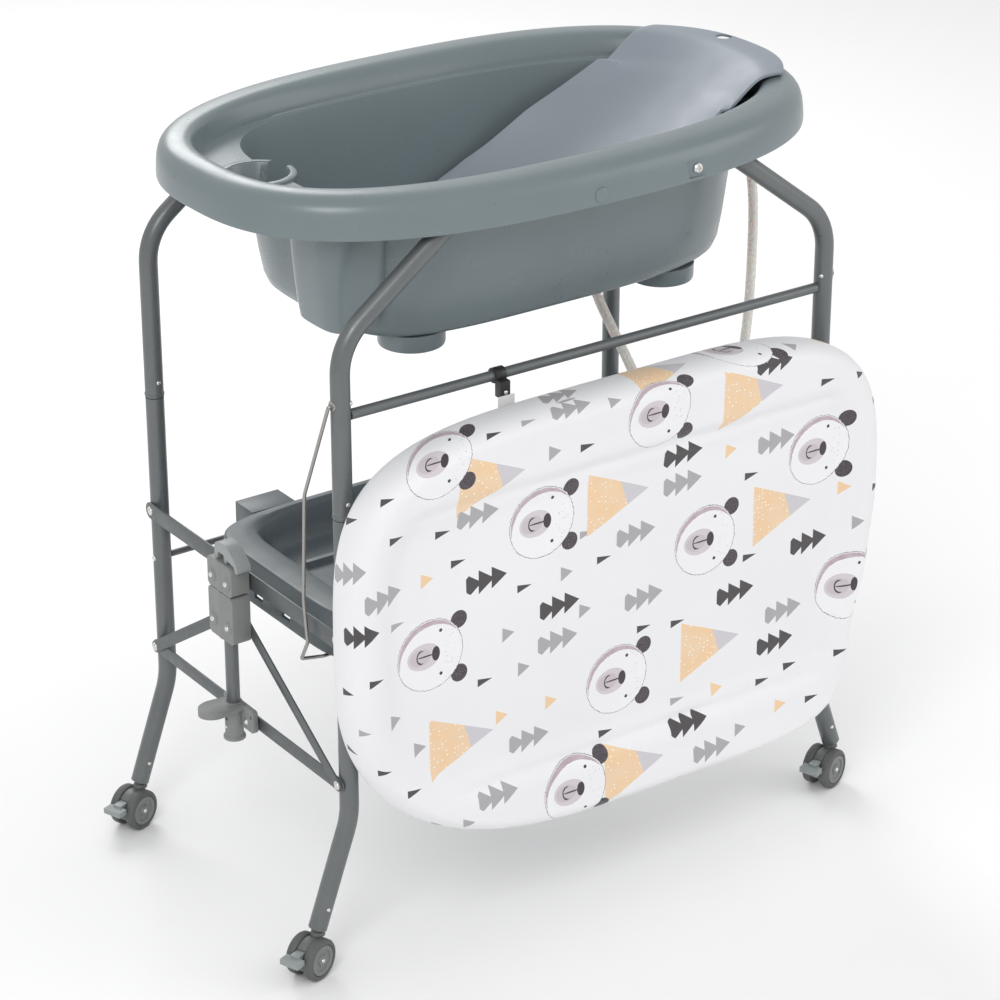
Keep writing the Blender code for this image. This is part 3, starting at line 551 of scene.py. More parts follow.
reach = HX - R_TUBE - .0003
rail = tube("rail", [(-reach, -HY, Z_RAIL), (reach, -HY, Z_RAIL)], R_RAIL, 8)
put(rail, "front_rail_tube", FRAME, ["front_rail"])
done(rail)
bar = tube("bar", [(-reach, HY, Z_ROD), (reach, HY, Z_ROD)], R_ROD, 6)
put(bar, "tray_rod_bar", FRAME, ["rear_tray_rod"])
done(bar)

# ---------------------------------------------------------------- fold linkage
LINKS = (("upper_%s_link_%s", Z_UP, (PY - HY, 0.0), 0.0105, LINKS_IN, LINKS_OUT),
         ("lower_%s_link_%s", Z_LOW, (PY - HY, 0.0), 0.0085, LINKS_IN, LINKS_OUT),
         ("brace_%s_%s", Z_LOW, (PY - HY, Z_BRACE - Z_LOW), 0.0072, BRACES_IN, BRACES_OUT))
for pattern, z, far, width, low, high in LINKS:
    for end, sy in ENDS:
        for side, sx in SIDES:
            node = pattern % (end, side)
            base = (sy * HY, z)
            tip = (sy * (HY + far[0]), z + far[1])
            strip = flat("strip", round_ended(base, tip, width), "x", *sorted((sx * low, sx * high)))
            piece = put(strip, node + "_strip", STRIP, [node], bevel=.0005)
            done(strip)
            out = (high + .0001) if "lower" not in pattern else (BRACES_OUT + .0001)
            body = NODES[node]["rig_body"]
            if "lower" not in pattern:
                screw_head(node + "_leg_rivet", (sx * out, *base), (sx, 0, 0), .0036, body)


def brackets(side, sx):
    """Post, upper and sliding bracket, foot clamp and release lever of one side; modelled on the left."""
    flip = sx > 0
    post = tube("post", [(-X_POST, 0, 0.2084), (-X_POST, 0, 0.4296)], R_POST, 8)
    put(post, "post_tube_" + side, FRAME, ["post_" + side], mirror=flip)
    done(post)
    for stem, lo, hi, z in (("upper_bracket", .3965, .4335, Z_UP), ("sliding_bracket", .3360, .3955, Z_BRACE)):
        block = flat("block", round_rect(-.0275, .0255, lo, hi, .006), "x", -BRACKET_OUT, -BRACKET_IN)
        barrel = rod("barrel", (-X_POST, 0, 0), None, .0136, lo, hi)
        join(block, barrel)
        for yy in (PY, -PY):
            join(block, turned("pad", [(.0072, BRACKET_OUT + .0012), (.0080, BRACKET_OUT + .0004), (.0080, .356)],
                (0, yy, z), (-1, 0, 0), 32))
        tip = .3467 if stem == "upper_bracket" else .34895
        for yy in (PY, -PY):
            join(block, rod("pin", (0, yy, z), (-1, 0, 0), .0048, tip, .360, 24))
        cut(block, rod("bore", (-X_POST, 0, 0), None, R_POST + .0002, .15, .4300 if stem == "upper_bracket" else .5))
        put(block, stem + "_body_" + side, PLASTIC, ["%s_%s" % (stem, side)], bevel=.0010,
            mirror=flip)
        done(block)
        for i, yy in enumerate((PY, -PY)):
            screw_head("%s_rivet_%d_%s" % (stem, i, side), (sx * (BRACKET_OUT + .0012), yy, z), (sx, 0, 0), .0034,
                       NODES["%s_%s" % (stem, side)]["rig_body"], washer=False)
    clamp = turned("clamp", [(.0098, .2515), (.0108, .2495), (.0108, .2085), (.0128, .2068), (.0132, .2050),
        (.0130, .2035)], (-X_POST, 0, 0))
    paddle = [(-.352, -.0135)] + [(-.386 - .0195 * math.sin(math.pi * k / 24),
        -.0165 * math.cos(math.pi * k / 24)) for k in range(25)] + [(-.352, .0135)]
    join(clamp, flat("paddle", paddle, "z", .2425, .2510))
    join(clamp, flat("ear", round_rect(-.0360, .0300, .2205, .2490, .004), "x", -.3555, -BRACKET_IN))
    for yy in (PY, -PY):
        join(clamp, rod("pin", (0, yy, Z_LOW), (-1, 0, 0), .0048, .3467, .353, 24))
    cut(clamp, rod("bore", (-X_POST, 0, 0), None, R_POST + .0002, .2080, .50))
    cut(clamp, rod("hole", (0, -.0300, .2395), (-1, 0, 0), .0024, .346, .358, 20))
    cut(clamp, box("slot", (-.375, -.0032, .2290), (-.3690, .0032, .2380)))
    put(clamp, "foot_clamp_body_" + side, PLASTIC, ["foot_clamp_" + side], bevel=.0008, mirror=flip)
    done(clamp)
    for i, yy in enumerate((PY + .004, -PY - .003)):
        screw_head("foot_clamp_rivet_%d_%s" % (i, side), (sx * .3556, yy, .2300), (sx, 0, 0), .0034, "posts")
    screw_head("foot_clamp_pin_" + side, (sx * .3708, 0, .2200), (sx, 0, 0), .0022, "posts", washer=False)
    z = .4345
    outline = smooth_path([(-.0370, z - .0020, 0), (-.0355, z - .0042, 0), (-.0325, z - .0044, 0),
        (-.0300, z - .0020, 0), (-.0285, z + .0020, 0), (-.0140, z + .0050, 0)], .002)
    outline = [(p.x, p.y) for p in outline] + [(-.0130, z), (-.0085, z), (-.0070, z + .0090), (.0050, z + .0090),
        (.0065, z), (.0115, z)]
    crown = smooth_path([(.0130, z + .0030, 0), (.0120, z + .0160, 0), (.0060, z + .0210, 0), (-.0040, z + .0225, 0),
        (-.0170, z + .0200, 0),
                         (-.0290, z + .0110, 0), (-.0360, z + .0030, 0)], .003)
    outline += [(p.x, p.y) for p in crown]
    lever = flat("lever", outline, "x", -.3700, -.3520)
    put(lever, "release_lever_body_" + side, LEVER, ["release_lever_" + side], bevel=.0018,
        segments=3, mirror=flip)
    done(lever)
    wire = arcs([(-.3385, -HY, .690), (-.3475, -.2030, .6895), (-.3600, -.1700, .578), (-.3560, -.1560, .445),
        (-.3535, -.1580, .392),
                 (-.3440, -.1280, .356), (-.2980, -.1000, .3335), (-.2780, -.1000, .3335)],
                 [.003, .03, .03, .010, .012, .010], 8)
    hanger = tube("wire", wire, .0021, 4)
    put(hanger, "tray_hanger_wire_" + side, STEEL, ["tray_hanger_" + side], mirror=flip)
    done(hanger)


for side, sx in SIDES:
    brackets(side, sx)

# ---------------------------------------------------------------- bath
OUTSIDE = ((.228, .255, .133, .7070, 4.2, 3.2), (.240, .268, .144, .7092, 4.2, 3.2),
    (.2520, .2815, .1545, .7260, 4.2, 3.2),
           (.2670, .2950, .1705, .8200, 3.8, 3.0), (.2750, .3060, .1805, .8700, 3.6, 2.9))
RIM = ((.3430, .3330, .1845, .8735, 2.9, 2.6), (.3500, .3400, .1880, .8930, 2.8, 2.6),
    (.3660, .3560, .2050, .9015, 2.6, 2.6),
       (.3745, .3695, .2250, .9000, 2.6, 2.6), (.3830, .3790, .2370, .8870, 2.6, 2.6),
       (.3840, .3800, .2388, .8605, 2.6, 2.6),
       (.3884, .3844, .2438, .8600, 2.6, 2.6), (.3888, .3850, .2442, .8660, 2.6, 2.6),
       (.3874, .3832, .2424, .8850, 2.6, 2.6),
       (.3826, .3782, .2376, .8970, 2.6, 2.6), (.3726, .3672, .2270, .9040, 2.6, 2.6),
       (.3616, .3540, .2070, .9055, 2.6, 2.6),
       (.3520, .3430, .1930, .9020, 2.7, 2.6), (.3450, .3370, .1835, .8860, 2.9, 2.6),
       (.3400, .3345, .1810, .8770, 3.0, 2.6))
INSIDE = ((.2760, .3100, .1780, .8750, 3.55, 2.85), (.2638, .2918, .1672, .8200, 3.8, 3.0),
    (.2485, .2780, .1510, .7270, 4.2, 3.2),
          (.2350, .2630, .1390, .7120, 4.2, 3.2), (.2200, .2480, .1260, .7105, 4.2, 3.2))


def section(l, r, b, z, nl, nr, grow=0.0):
    return oval(l + grow, r + grow, b + grow, nl, nr, z)


bath = loft("bath", [section(*s) for s in refined(OUTSIDE + RIM + INSIDE, 3)])


def basin(name):
    rows = refined(list(reversed(INSIDE[:-1])), 3)
    return loft(name, [section(*s, grow=.0012) for s in rows] + [section(.2760, .3100, .1780, .9300, 3.55, 2.85,
        grow=.0012)])


cx, cy, cr = CUP
well = turned("well", [(.0395, .8745), (.0385, .8430), (.0360, .8405)], (cx, cy, 0))
cut(well, basin("basin_a"))
join(bath, well)
join(bath, turned("collar", [(.0412, .8788), (.0424, .8785), (.0434, .8774), (.0434, .8700), (.0422, .8680)],
    (cx, cy, 0)))
cut(bath, turned("cup", [(cr + .0012, .9200), (cr + .0012, .8780), (cr, .8766), (.0335, .8480), (.0320, .8455)],
    (cx, cy, 0)))
mouth = box("mouth", (0, -.0130, -.035), (.060, .0130, .035))
mouth.matrix_world = Matrix.Translation((cx, cy, .865)) @ Matrix.Rotation(math.radians(18), 4, 'Z')
cut(bath, mouth)
pocket = loft("pocket", [oval(a, a, b, 3.4, 3.4, z, 72) for a, b, z in refined(
    ((.026, .036, .7330), (.0335, .0440, .7360), (.0400, .0510, .8000), (.0430, .0540, .8740)), 3)])
pocket.location = (-.263, -.094, 0)
cut(pocket, basin("basin_b"))
join(bath, pocket)
for fx, fy in ((-.172, -.098), (.176, -.098), (-.172, .098), (.176, .098)):
    join(bath, turned("foot", [(.0385, .7080), (.0380, .6905), (.0372, .6886), (.0360, .6880)], (fx, fy, 0)))
cut(bath, rod("drain", (*DRAIN, 0), None, .0120, .700, .720))
sx_, sz_ = SCREW
cut(bath, flat("recess", [(sx_ - .0165, sz_ + .0095), (sx_ - .0120, sz_ - .0105), (sx_ + .0150, sz_ - .0105),
    (sx_ + .0165, sz_ + .0125)],
               "y", -.2480, -.2385))
join(bath, turned("button", [(.0070, .0062), (.0080, .0058), (.0088, .0048), (.0088, 0)], (-.020, -.2395, .8710),
    (0, -1, 0), 40))
put(bath, "bathtub_shell", BATH, ["bathtub"], angle=38)
done(bath)

screw = turned("screw", [(.0020, .0044), (.0046, .0038), (.0058, .0022), (.0058, 0)], (sx_, -.2386, sz_), (0, -1, 0),
    40)
for a, b in ((.0034, .0006), (.0006, .0034)):
    cut(screw, box("cross", (sx_ - a, -.2460, sz_ - b), (sx_ + a, -.2408, sz_ + b)))
put(screw, "rim_screw_head", ZINC, ["rim_screw"])
done(screw)
spout = turned("spout", [(.0200, .7066), (.0200, .7030), (.0188, .7025), (.0092, .7020), (.0085, .6960),
    (.0090, .6900), (.0078, .6880), (.0082, .6820), (.0072, .6745)],
               (*DRAIN, 0), None, 40)
put(spout, "drain_spout_body", WHITE, ["drain_spout"])
done(spout)
plug = turned("plug", [(.0040, .7270), (.0060, .7252), (.0060, .7235), (.0042, .7210), (.0042, .7160), (.0150, .7155),
    (.0180, .7140), (.0180, .7110), (.0112, .7110),
                       (.0105, .7075)], (*DRAIN, 0), None, 48)
put(plug, "drain_plug_body", RUBBER, ["drain_plug"])
done(plug)
hook = flat("hook", round_rect(.3460, .3740, -.0300, -.0100, .004), "z", .8430, .8500)
join(hook, rod("pin", (.360, -.020, 0), None, .0058, .8480, .8960, 28))
put(hook, "hose_hook_body", BATH, ["hose_hook"], bevel=.0008)
done(hook)

# reclined support
SHEET = [(.3800, .9095), (.3740, .9114), (.3640, .9120), (.3540, .9118), (.3410, .9088), (.3260, .8995),
    (.3020, .8815), (.2500, .8450), (.2000, .8150),
         (.1500, .7890), (.1000, .7700), (.0550, .7570), (.0150, .7450), (-.0250, .7310), (-.0600, .7200)]


def basin_half_width(x, z):
    rows = sorted(INSIDE, key=lambda s: s[3])
    z = min(max(z, rows[0][3]), rows[-1][3])
    for a, b in zip(rows, rows[1:]):
        if a[3] <= z <= b[3]:
            t = (z - a[3]) / (b[3] - a[3])
            r, half, n = (a[j] + (b[j] - a[j]) * t for j in (1, 2, 5))
            return half * max(0.0, 1 - min(1.0, max(x, 0) / r) ** n) ** (1 / n)
    return rows[-1][2]


LIP_REACH, LIP_HALF = .345, .190     # the rim's inner edge, which the sheet bows with
LIP_ROUND, LIP_POWER = 2.45, .408
SHEET_HALF, Z_FREE = .116, .8790     # half width over the rim, and the height below which the sheet widens


def sheet_point(x, z, side):
    """A point of the reclined sheet: its width follows the basin, and it bows with the rim's curve."""
    bow = min(1.0, max(0.0, (z - .735) / .09))
    half = want = SHEET_HALF + max(0.0, Z_FREE - z) * .30
    for _ in range(4):
        near = min(.95, abs(half * side) / LIP_HALF)
        here = x - bow * (LIP_REACH - LIP_REACH * (1 - near ** LIP_ROUND) ** LIP_POWER)
        half = want if z > Z_FREE else min(want, basin_half_width(here, z - .006) - .0090)
    y = half * side
    lip = LIP_REACH * (1 - (abs(y) / LIP_HALF) ** LIP_ROUND) ** LIP_POWER
    return x - bow * (LIP_REACH - lip), y, z + (0.0 if z > Z_FREE else .010 * abs(side) ** 3)


fine = refined(SHEET, 4)
ACROSS = 40
me = bpy.data.meshes.new("sheet")
bm = bmesh.new()
bmesh.ops.create_grid(bm, x_segments=len(fine) - 1, y_segments=ACROSS, size=1)
for v in bm.verts:
    i = round((v.co.x + 1) / 2 * (len(fine) - 1))
    side = v.co.y
    x, z = fine[i]
    v.co = sheet_point(x, z, side)
bmesh.ops.recalc_face_normals(bm, faces=bm.faces)
if sum(f.normal.z for f in bm.faces) < 0:
    bmesh.ops.reverse_faces(bm, faces=bm.faces)
bm.to_mesh(me)
bm.free()
support = add("support", me)
m = support.modifiers.new("thickness", 'SOLIDIFY')
m.thickness, m.offset = .0032, -1
cut(support, rod("hang", (.364, .030, 0), None, .0100, .89, .93))
put(support, "bath_support_sheet", SUPPORT, ["bath_support"], bevel=.0008, angle=50)
done(support)

# ---------------------------------------------------------------- tray
TRAY = ((.200, .110, .3420), (.2440, .1440, .3480), (.2500, .1490, .3700), (.2580, .1550, .3860),
    (.2925, .1610, .3820), (.2960, .1640, .3385),
        (.2995, .1672, .3385), (.3005, .1680, .3420), (.2940, .1630, .3885), (.2880, .1590, .3905),
        (.2620, .1530, .3905), (.2505, .1475, .3820),
        (.2400, .1395, .3500), (.2300, .1310, .3456), (.200, .110, .3450))
tray = loft("tray", [oval(l, l, b, 7, 7, z, 144, TRAY_Y) for l, b, z in refined(TRAY, 2)])
saddle = [(HY + (R_ROD + .0005) * math.cos(math.pi * k / 16),
    Z_ROD + (R_ROD + .0005) * math.sin(math.pi * k / 16)) for k in range(17)]
saddle += [(HY - R_ROD - .0005, .330), (HY + R_ROD + .0005, .330)]
for hx in (-.195, .195):
    lug = box("lug", (hx - .030, .1722, .3440), (hx + .030, .2125, .3880))
    cut(lug, flat("saddle", saddle, "x", hx - .05, hx + .05))
    join(tray, lug)
for ry in (-.070, .008, .086):
    join(tray, box("rib", (-.205, ry - .004, .3440), (.205, ry + .004, .3520)))
for sy in (-1, 1):
    cut(tray, box("slot", (-.310, TRAY_Y + sy * .030 - .009, .3480), (-.290, TRAY_Y + sy * .030 + .009, .3590)))
put(tray, "storage_tray_shell", TRAYP, ["storage_tray"], bevel=.0007, angle=40)
done(tray)

# ---------------------------------------------------------------- casters, drawn about their swivel axis with x trailing
cheek = [(TRAIL + .0228 * math.cos(math.radians(-20 + 220 * k / 40)),
    R_WHEEL + .0228 * math.sin(math.radians(-20 + 220 * k / 40))) for k in range(41)]
fork = flat("fork", cheek, "y", -.0062, .0062)
join(fork, turned("neck", [(.0038, .0700), (.0040, .0525), (.0076, .0515), (.0086, .0490), (.0088, .0472),
    (.0060, .0464), (.0060, .0300)], sides=40))
cut(fork, rod("axle", (TRAIL, 0, R_WHEEL), (0, 1, 0), .0034, -.03, .03),
    box("notch", (TRAIL + .0160, -.010, .0285), (TRAIL + .0300, .010, .0420)))
hub = rod("hub", (TRAIL, 0, R_WHEEL), (0, 1, 0), .0030, -.0110, .0110, 24)
for sy in (-1, 1):
    join(hub, turned("disc", [(.0020, .0178), (.0062, .0186), (.0068, .0180), (.0074, .0166), (.0128, .0166),
        (.0136, .0180), (.0160, .0184), (.0180, .0180),
                              (.0186, .0170), (.0186, .0068)], (TRAIL, 0, R_WHEEL), (0, sy, 0), 56))
tyre_profile = [(.0187, .0172), (.0196, .0186), (.0218, .0186), (.0240, .0172), (R_WHEEL, .0156), (R_WHEEL, .0090),
    (.0240, .0074), (.0215, .0067), (.0187, .0067)]
tyre = [turned("tyre", tyre_profile, (TRAIL, 0, R_WHEEL), (0, sy, 0), 64) for sy in (-1, 1)]
for ring in tyre:
    cut(ring, rod("inside", (TRAIL, 0, R_WHEEL), (0, 1, 0), .01868, -.03, .03, 64))
cap = [turned("cap", [(.0012, .0196), (.0024, .0192), (.0028, .0184), (.0028, .0170)], (TRAIL, 0, R_WHEEL), (0, sy, 0),
    24) for sy in (-1, 1)]
brake = box("brake", (TRAIL + .0165, -.0056, .0306), (TRAIL + .0300, .0056, .0400))
join(brake, box("pad", (TRAIL + .0268, -.0125, .0306), (TRAIL + .0400, .0125, .0375)))
for i in range(3):
    cut(brake, box("groove", (TRAIL + .0310 + i * .0026, -.0100, .0372), (TRAIL + .0320 + i * .0026, .0100, .0380)))
for end, sy in ENDS:
    for side, sx in SIDES:
        tag = "%s_%s" % (end, side)
        at = Matrix.Translation((sx * X_FOOT, sy * HY, 0)) @ Matrix.Rotation(math.pi + YAW, 4, 'Z')
        for ob, name, mat, slot_name, nodes, body, bevel in (
                (fork, "caster_housing_", HOUSING, "caster_housing", ["caster_fork_" + tag], None, .0012),
                (hub, "caster_hub_", HUB, "caster_tyre", ["caster_wheel_" + tag], None, 0),
                (tyre[0], "caster_tyre_a_", TYRE, "caster_tyre", [], "wheel_" + tag, 0),
                (tyre[1], "caster_tyre_b_", TYRE, "caster_tyre", [], "wheel_" + tag, 0),
                (cap[0], "axle_cap_a_", ZINC, "zinc", [], "wheel_" + tag, 0),
                (cap[1], "axle_cap_b_", ZINC, "zinc", [], "wheel_" + tag, 0),
                (brake, "caster_brake_tab_", BRAKE, "brake_plastic", ["caster_brake_" + tag], None, .0010)):
            copy = add("copy", ob.data.copy())
            copy.matrix_world = at @ ob.matrix_world
            put(copy, name + tag, mat, nodes, body, bevel=bevel)
            done(copy)
for ob in [fork, hub, brake] + tyre + cap:
    done(ob)

# ---------------------------------------------------------------- board, strap and clip
panel = [(p.x, BOARD_Z + p.y) for p in oval(.338, .338, .230, 4.0, 4.0, 0, 120)]
board = flat("board", panel, "y", -.2280, -.2220)
put(board, "board_panel", BOARD, ["board_base"], bevel=.0015)
done(board)
strap = box("strap", (STRAP_X - .0110, -.2215, .5900), (STRAP_X + .0110, -.2203, .6560))
put(strap, "board_strap_web", WEB, ["board_strap"], bevel=.0004)
done(strap)
grip = rod("grip", (STRAP_X, -HY, Z_RAIL), (1, 0, 0), .0088, -.0070, .0070)
join(grip, box("tab", (STRAP_X - .0062, -.2200, .6520), (STRAP_X + .0062, -.2080, .6720)))
cut(grip, rod("hole", (STRAP_X, -HY, Z_RAIL), (1, 0, 0), R_RAIL + .0003, -.02, .02))
put(grip, "board_clip_body", BLACK, ["board_clip"], bevel=.0008)
done(grip)
screw_head("clip_rivet", (STRAP_X, -.2200, .6590), (0, -1, 0), .0026, "board", washer=False)

# ---------------------------------------------------------------- padded changing surface
CORNERS = {(1, 1): 4.4, (-1, 1): 4.1, (-1, -1): 2.5, (1, -1): 6.5}
PAD_BACK, PAD_FRONT = -.2286, -.2855
CREASE = .178           # distance of a bolster's inner crease from the middle line


def smoothstep(t):
    t = min(1.0, max(0.0, t))
    return t * t * (3 - 2 * t)


def outline_point(k, count, grow=0.0):
    t = 2 * math.pi * (k + .5) / count
    c, s = math.cos(t), math.sin(t)
    n = CORNERS[1 if c > 0 else -1, 1 if s > 0 else -1]
    x, z = math.copysign(abs(c) ** (2 / n), c) * (BOARD_HX - .001 + grow), math.copysign(abs(s) ** (2 / n),
        s) * (BOARD_HZ - .001 + grow)
    if x > 0 > z:                                      # the lower right end is drawn in
        x *= 1 - .078 * smoothstep(-z / .15) * smoothstep(x / .2)
    return x, z


def cover_height(x, z):
    """How far the front of the pad lies behind its foremost plane."""
    d = abs(z)
    valley = .0105 * (1 - smoothstep((d - CREASE + .030) / .055))
    crease = .0048 * math.exp(-((d - CREASE) / .0075) ** 2) * (.75 + .25 * math.sin(9 * x + 1))
    soft = .0011 * noise.noise(Vector((x * 9, z * 9, 3))) + .0007 * noise.noise(Vector((x * 26 + z * 12, z * 21, 8)))
    pulls = .0009 * math.sin(60 * (x + .35 * z) + 4 * noise.noise(Vector((x * 4, z * 4,
        1)))) * math.exp(-((d - .200) / .035) ** 2)
    return .0020 + valley + crease + soft + pulls


COUNT = 260
rows = []
EDGE = .0285
for a in range(5):                                     # flat back, inward to the edge
    inset = .060 - .052 * a / 4
    rows.append([Vector((*[v * (1 - inset / .3) for v in outline_point(k, COUNT)],
        PAD_BACK + .0004)) for k in range(COUNT)])
for a in range(19):                                    # round the side
    turn = math.pi * a / 18
    for_front = turn > math.pi / 2
    inset = .0085 * (1 - math.sin(turn)) if not for_front else .0200 * (1 - math.sin(turn))
    y = PAD_BACK - EDGE * (1 - math.cos(turn))
    ring = []
    for k in range(COUNT):
        x, z = outline_point(k, COUNT)
        r = math.hypot(x, z)
        pinch = .0009 * math.sin(k * .55) * math.sin(turn) * noise.noise(Vector((x * 7, z * 7, 5)))
        x, z = x * (1 - (inset + abs(pinch)) / r), z * (1 - (inset + abs(pinch)) / r)
        ring.append(Vector((x, z, y)))
    rows.append(ring)
side_rows = len(rows)
INNER = 74
for a in range(1, INNER):                              # front, inward to the middle
    f = 1 - a / INNER
    rows.append([Vector((p.x * f, p.y * f, 0)) for p in rows[side_rows - 1]])
bm = bmesh.new()
uv = bm.loops.layers.uv.new("print")
place = {}
verts = []
for i, ring in enumerate(rows):
    line = []
    for k, p in enumerate(ring):
        x, z, y = p
        front = cover_height(x, z)
        if i >= side_rows:
            edge_blend = smoothstep((i - side_rows) / 9)
            y = PAD_FRONT + front * edge_blend + .0004 * (1 - edge_blend)
        v = bm.verts.new((x, y, BOARD_Z + z))
        line.append(v)
        behind = max(0.0, (y - PAD_FRONT) if i < side_rows else 0.0)
        r = math.hypot(x, z) + 1e-9
        place[v] = (x + x / r * behind * 1.0, z + z / r * behind * 1.0)
    verts.append(line)
for a, b in zip(verts, verts[1:]):
    for k in range(COUNT):
        bm.faces.new((a[k], a[(k + 1) % COUNT], b[(k + 1) % COUNT], b[k]))
for line, y_mid in ((verts[0], None), (verts[-1], None)):
    centre = sum((v.co for v in line), Vector()) / COUNT
    mid = bm.verts.new(centre)
    place[mid] = (centre.x, centre.z - BOARD_Z)
    for k in range(COUNT):
        bm.faces.new((line[k], line[(k + 1) % COUNT], mid))
bmesh.ops.recalc_face_normals(bm, faces=bm.faces)
for f in bm.faces:
    for loop in f.loops:
        loop[uv].uv = place[loop.vert]
pad = from_bmesh("pad", bm)

# The cover's print: round animal faces, dotted peaks, fir trees and small triangles, all pointing to +X
FACES = ((-.263, .243), (-.119, .128), (.112, .042), (.277, .113), (.034, .225), (-.268, .008), (-.012, -.100),
    (-.077, -.220), (.325, -.072), (.175, .292))
PEAKS = ((-.017, .131), (.223, .052), (.121, -.095), (-.230, -.111), (.005, -.215), (.165, .215), (-.194, .203),
    (.051, .288))
TREES = (((-.204, .160), .35), ((-.192, .078), 1), ((-.332, .098), .35), ((-.367, .061), 1), ((-.093, .018), 1),
    ((-.095, -.025), .35), ((.013, .078), .35),
         ((.077, .160), 1), ((.078, .124), .35), ((.026, -.006), .35), ((.160, -.038), 1), ((.269, -.003), 1),
         ((.214, .141), .35), ((-.134, -.139), .35),
         ((-.183, -.192), .35), ((.091, -.187), 1), ((.123, -.230), .35), ((-.085, .265), .35), ((.199, .247), 1),
         ((.234, -.083), .35), ((.223, -.122), 1),
         ((-.384, .137), .35), ((-.090, .296), .35))


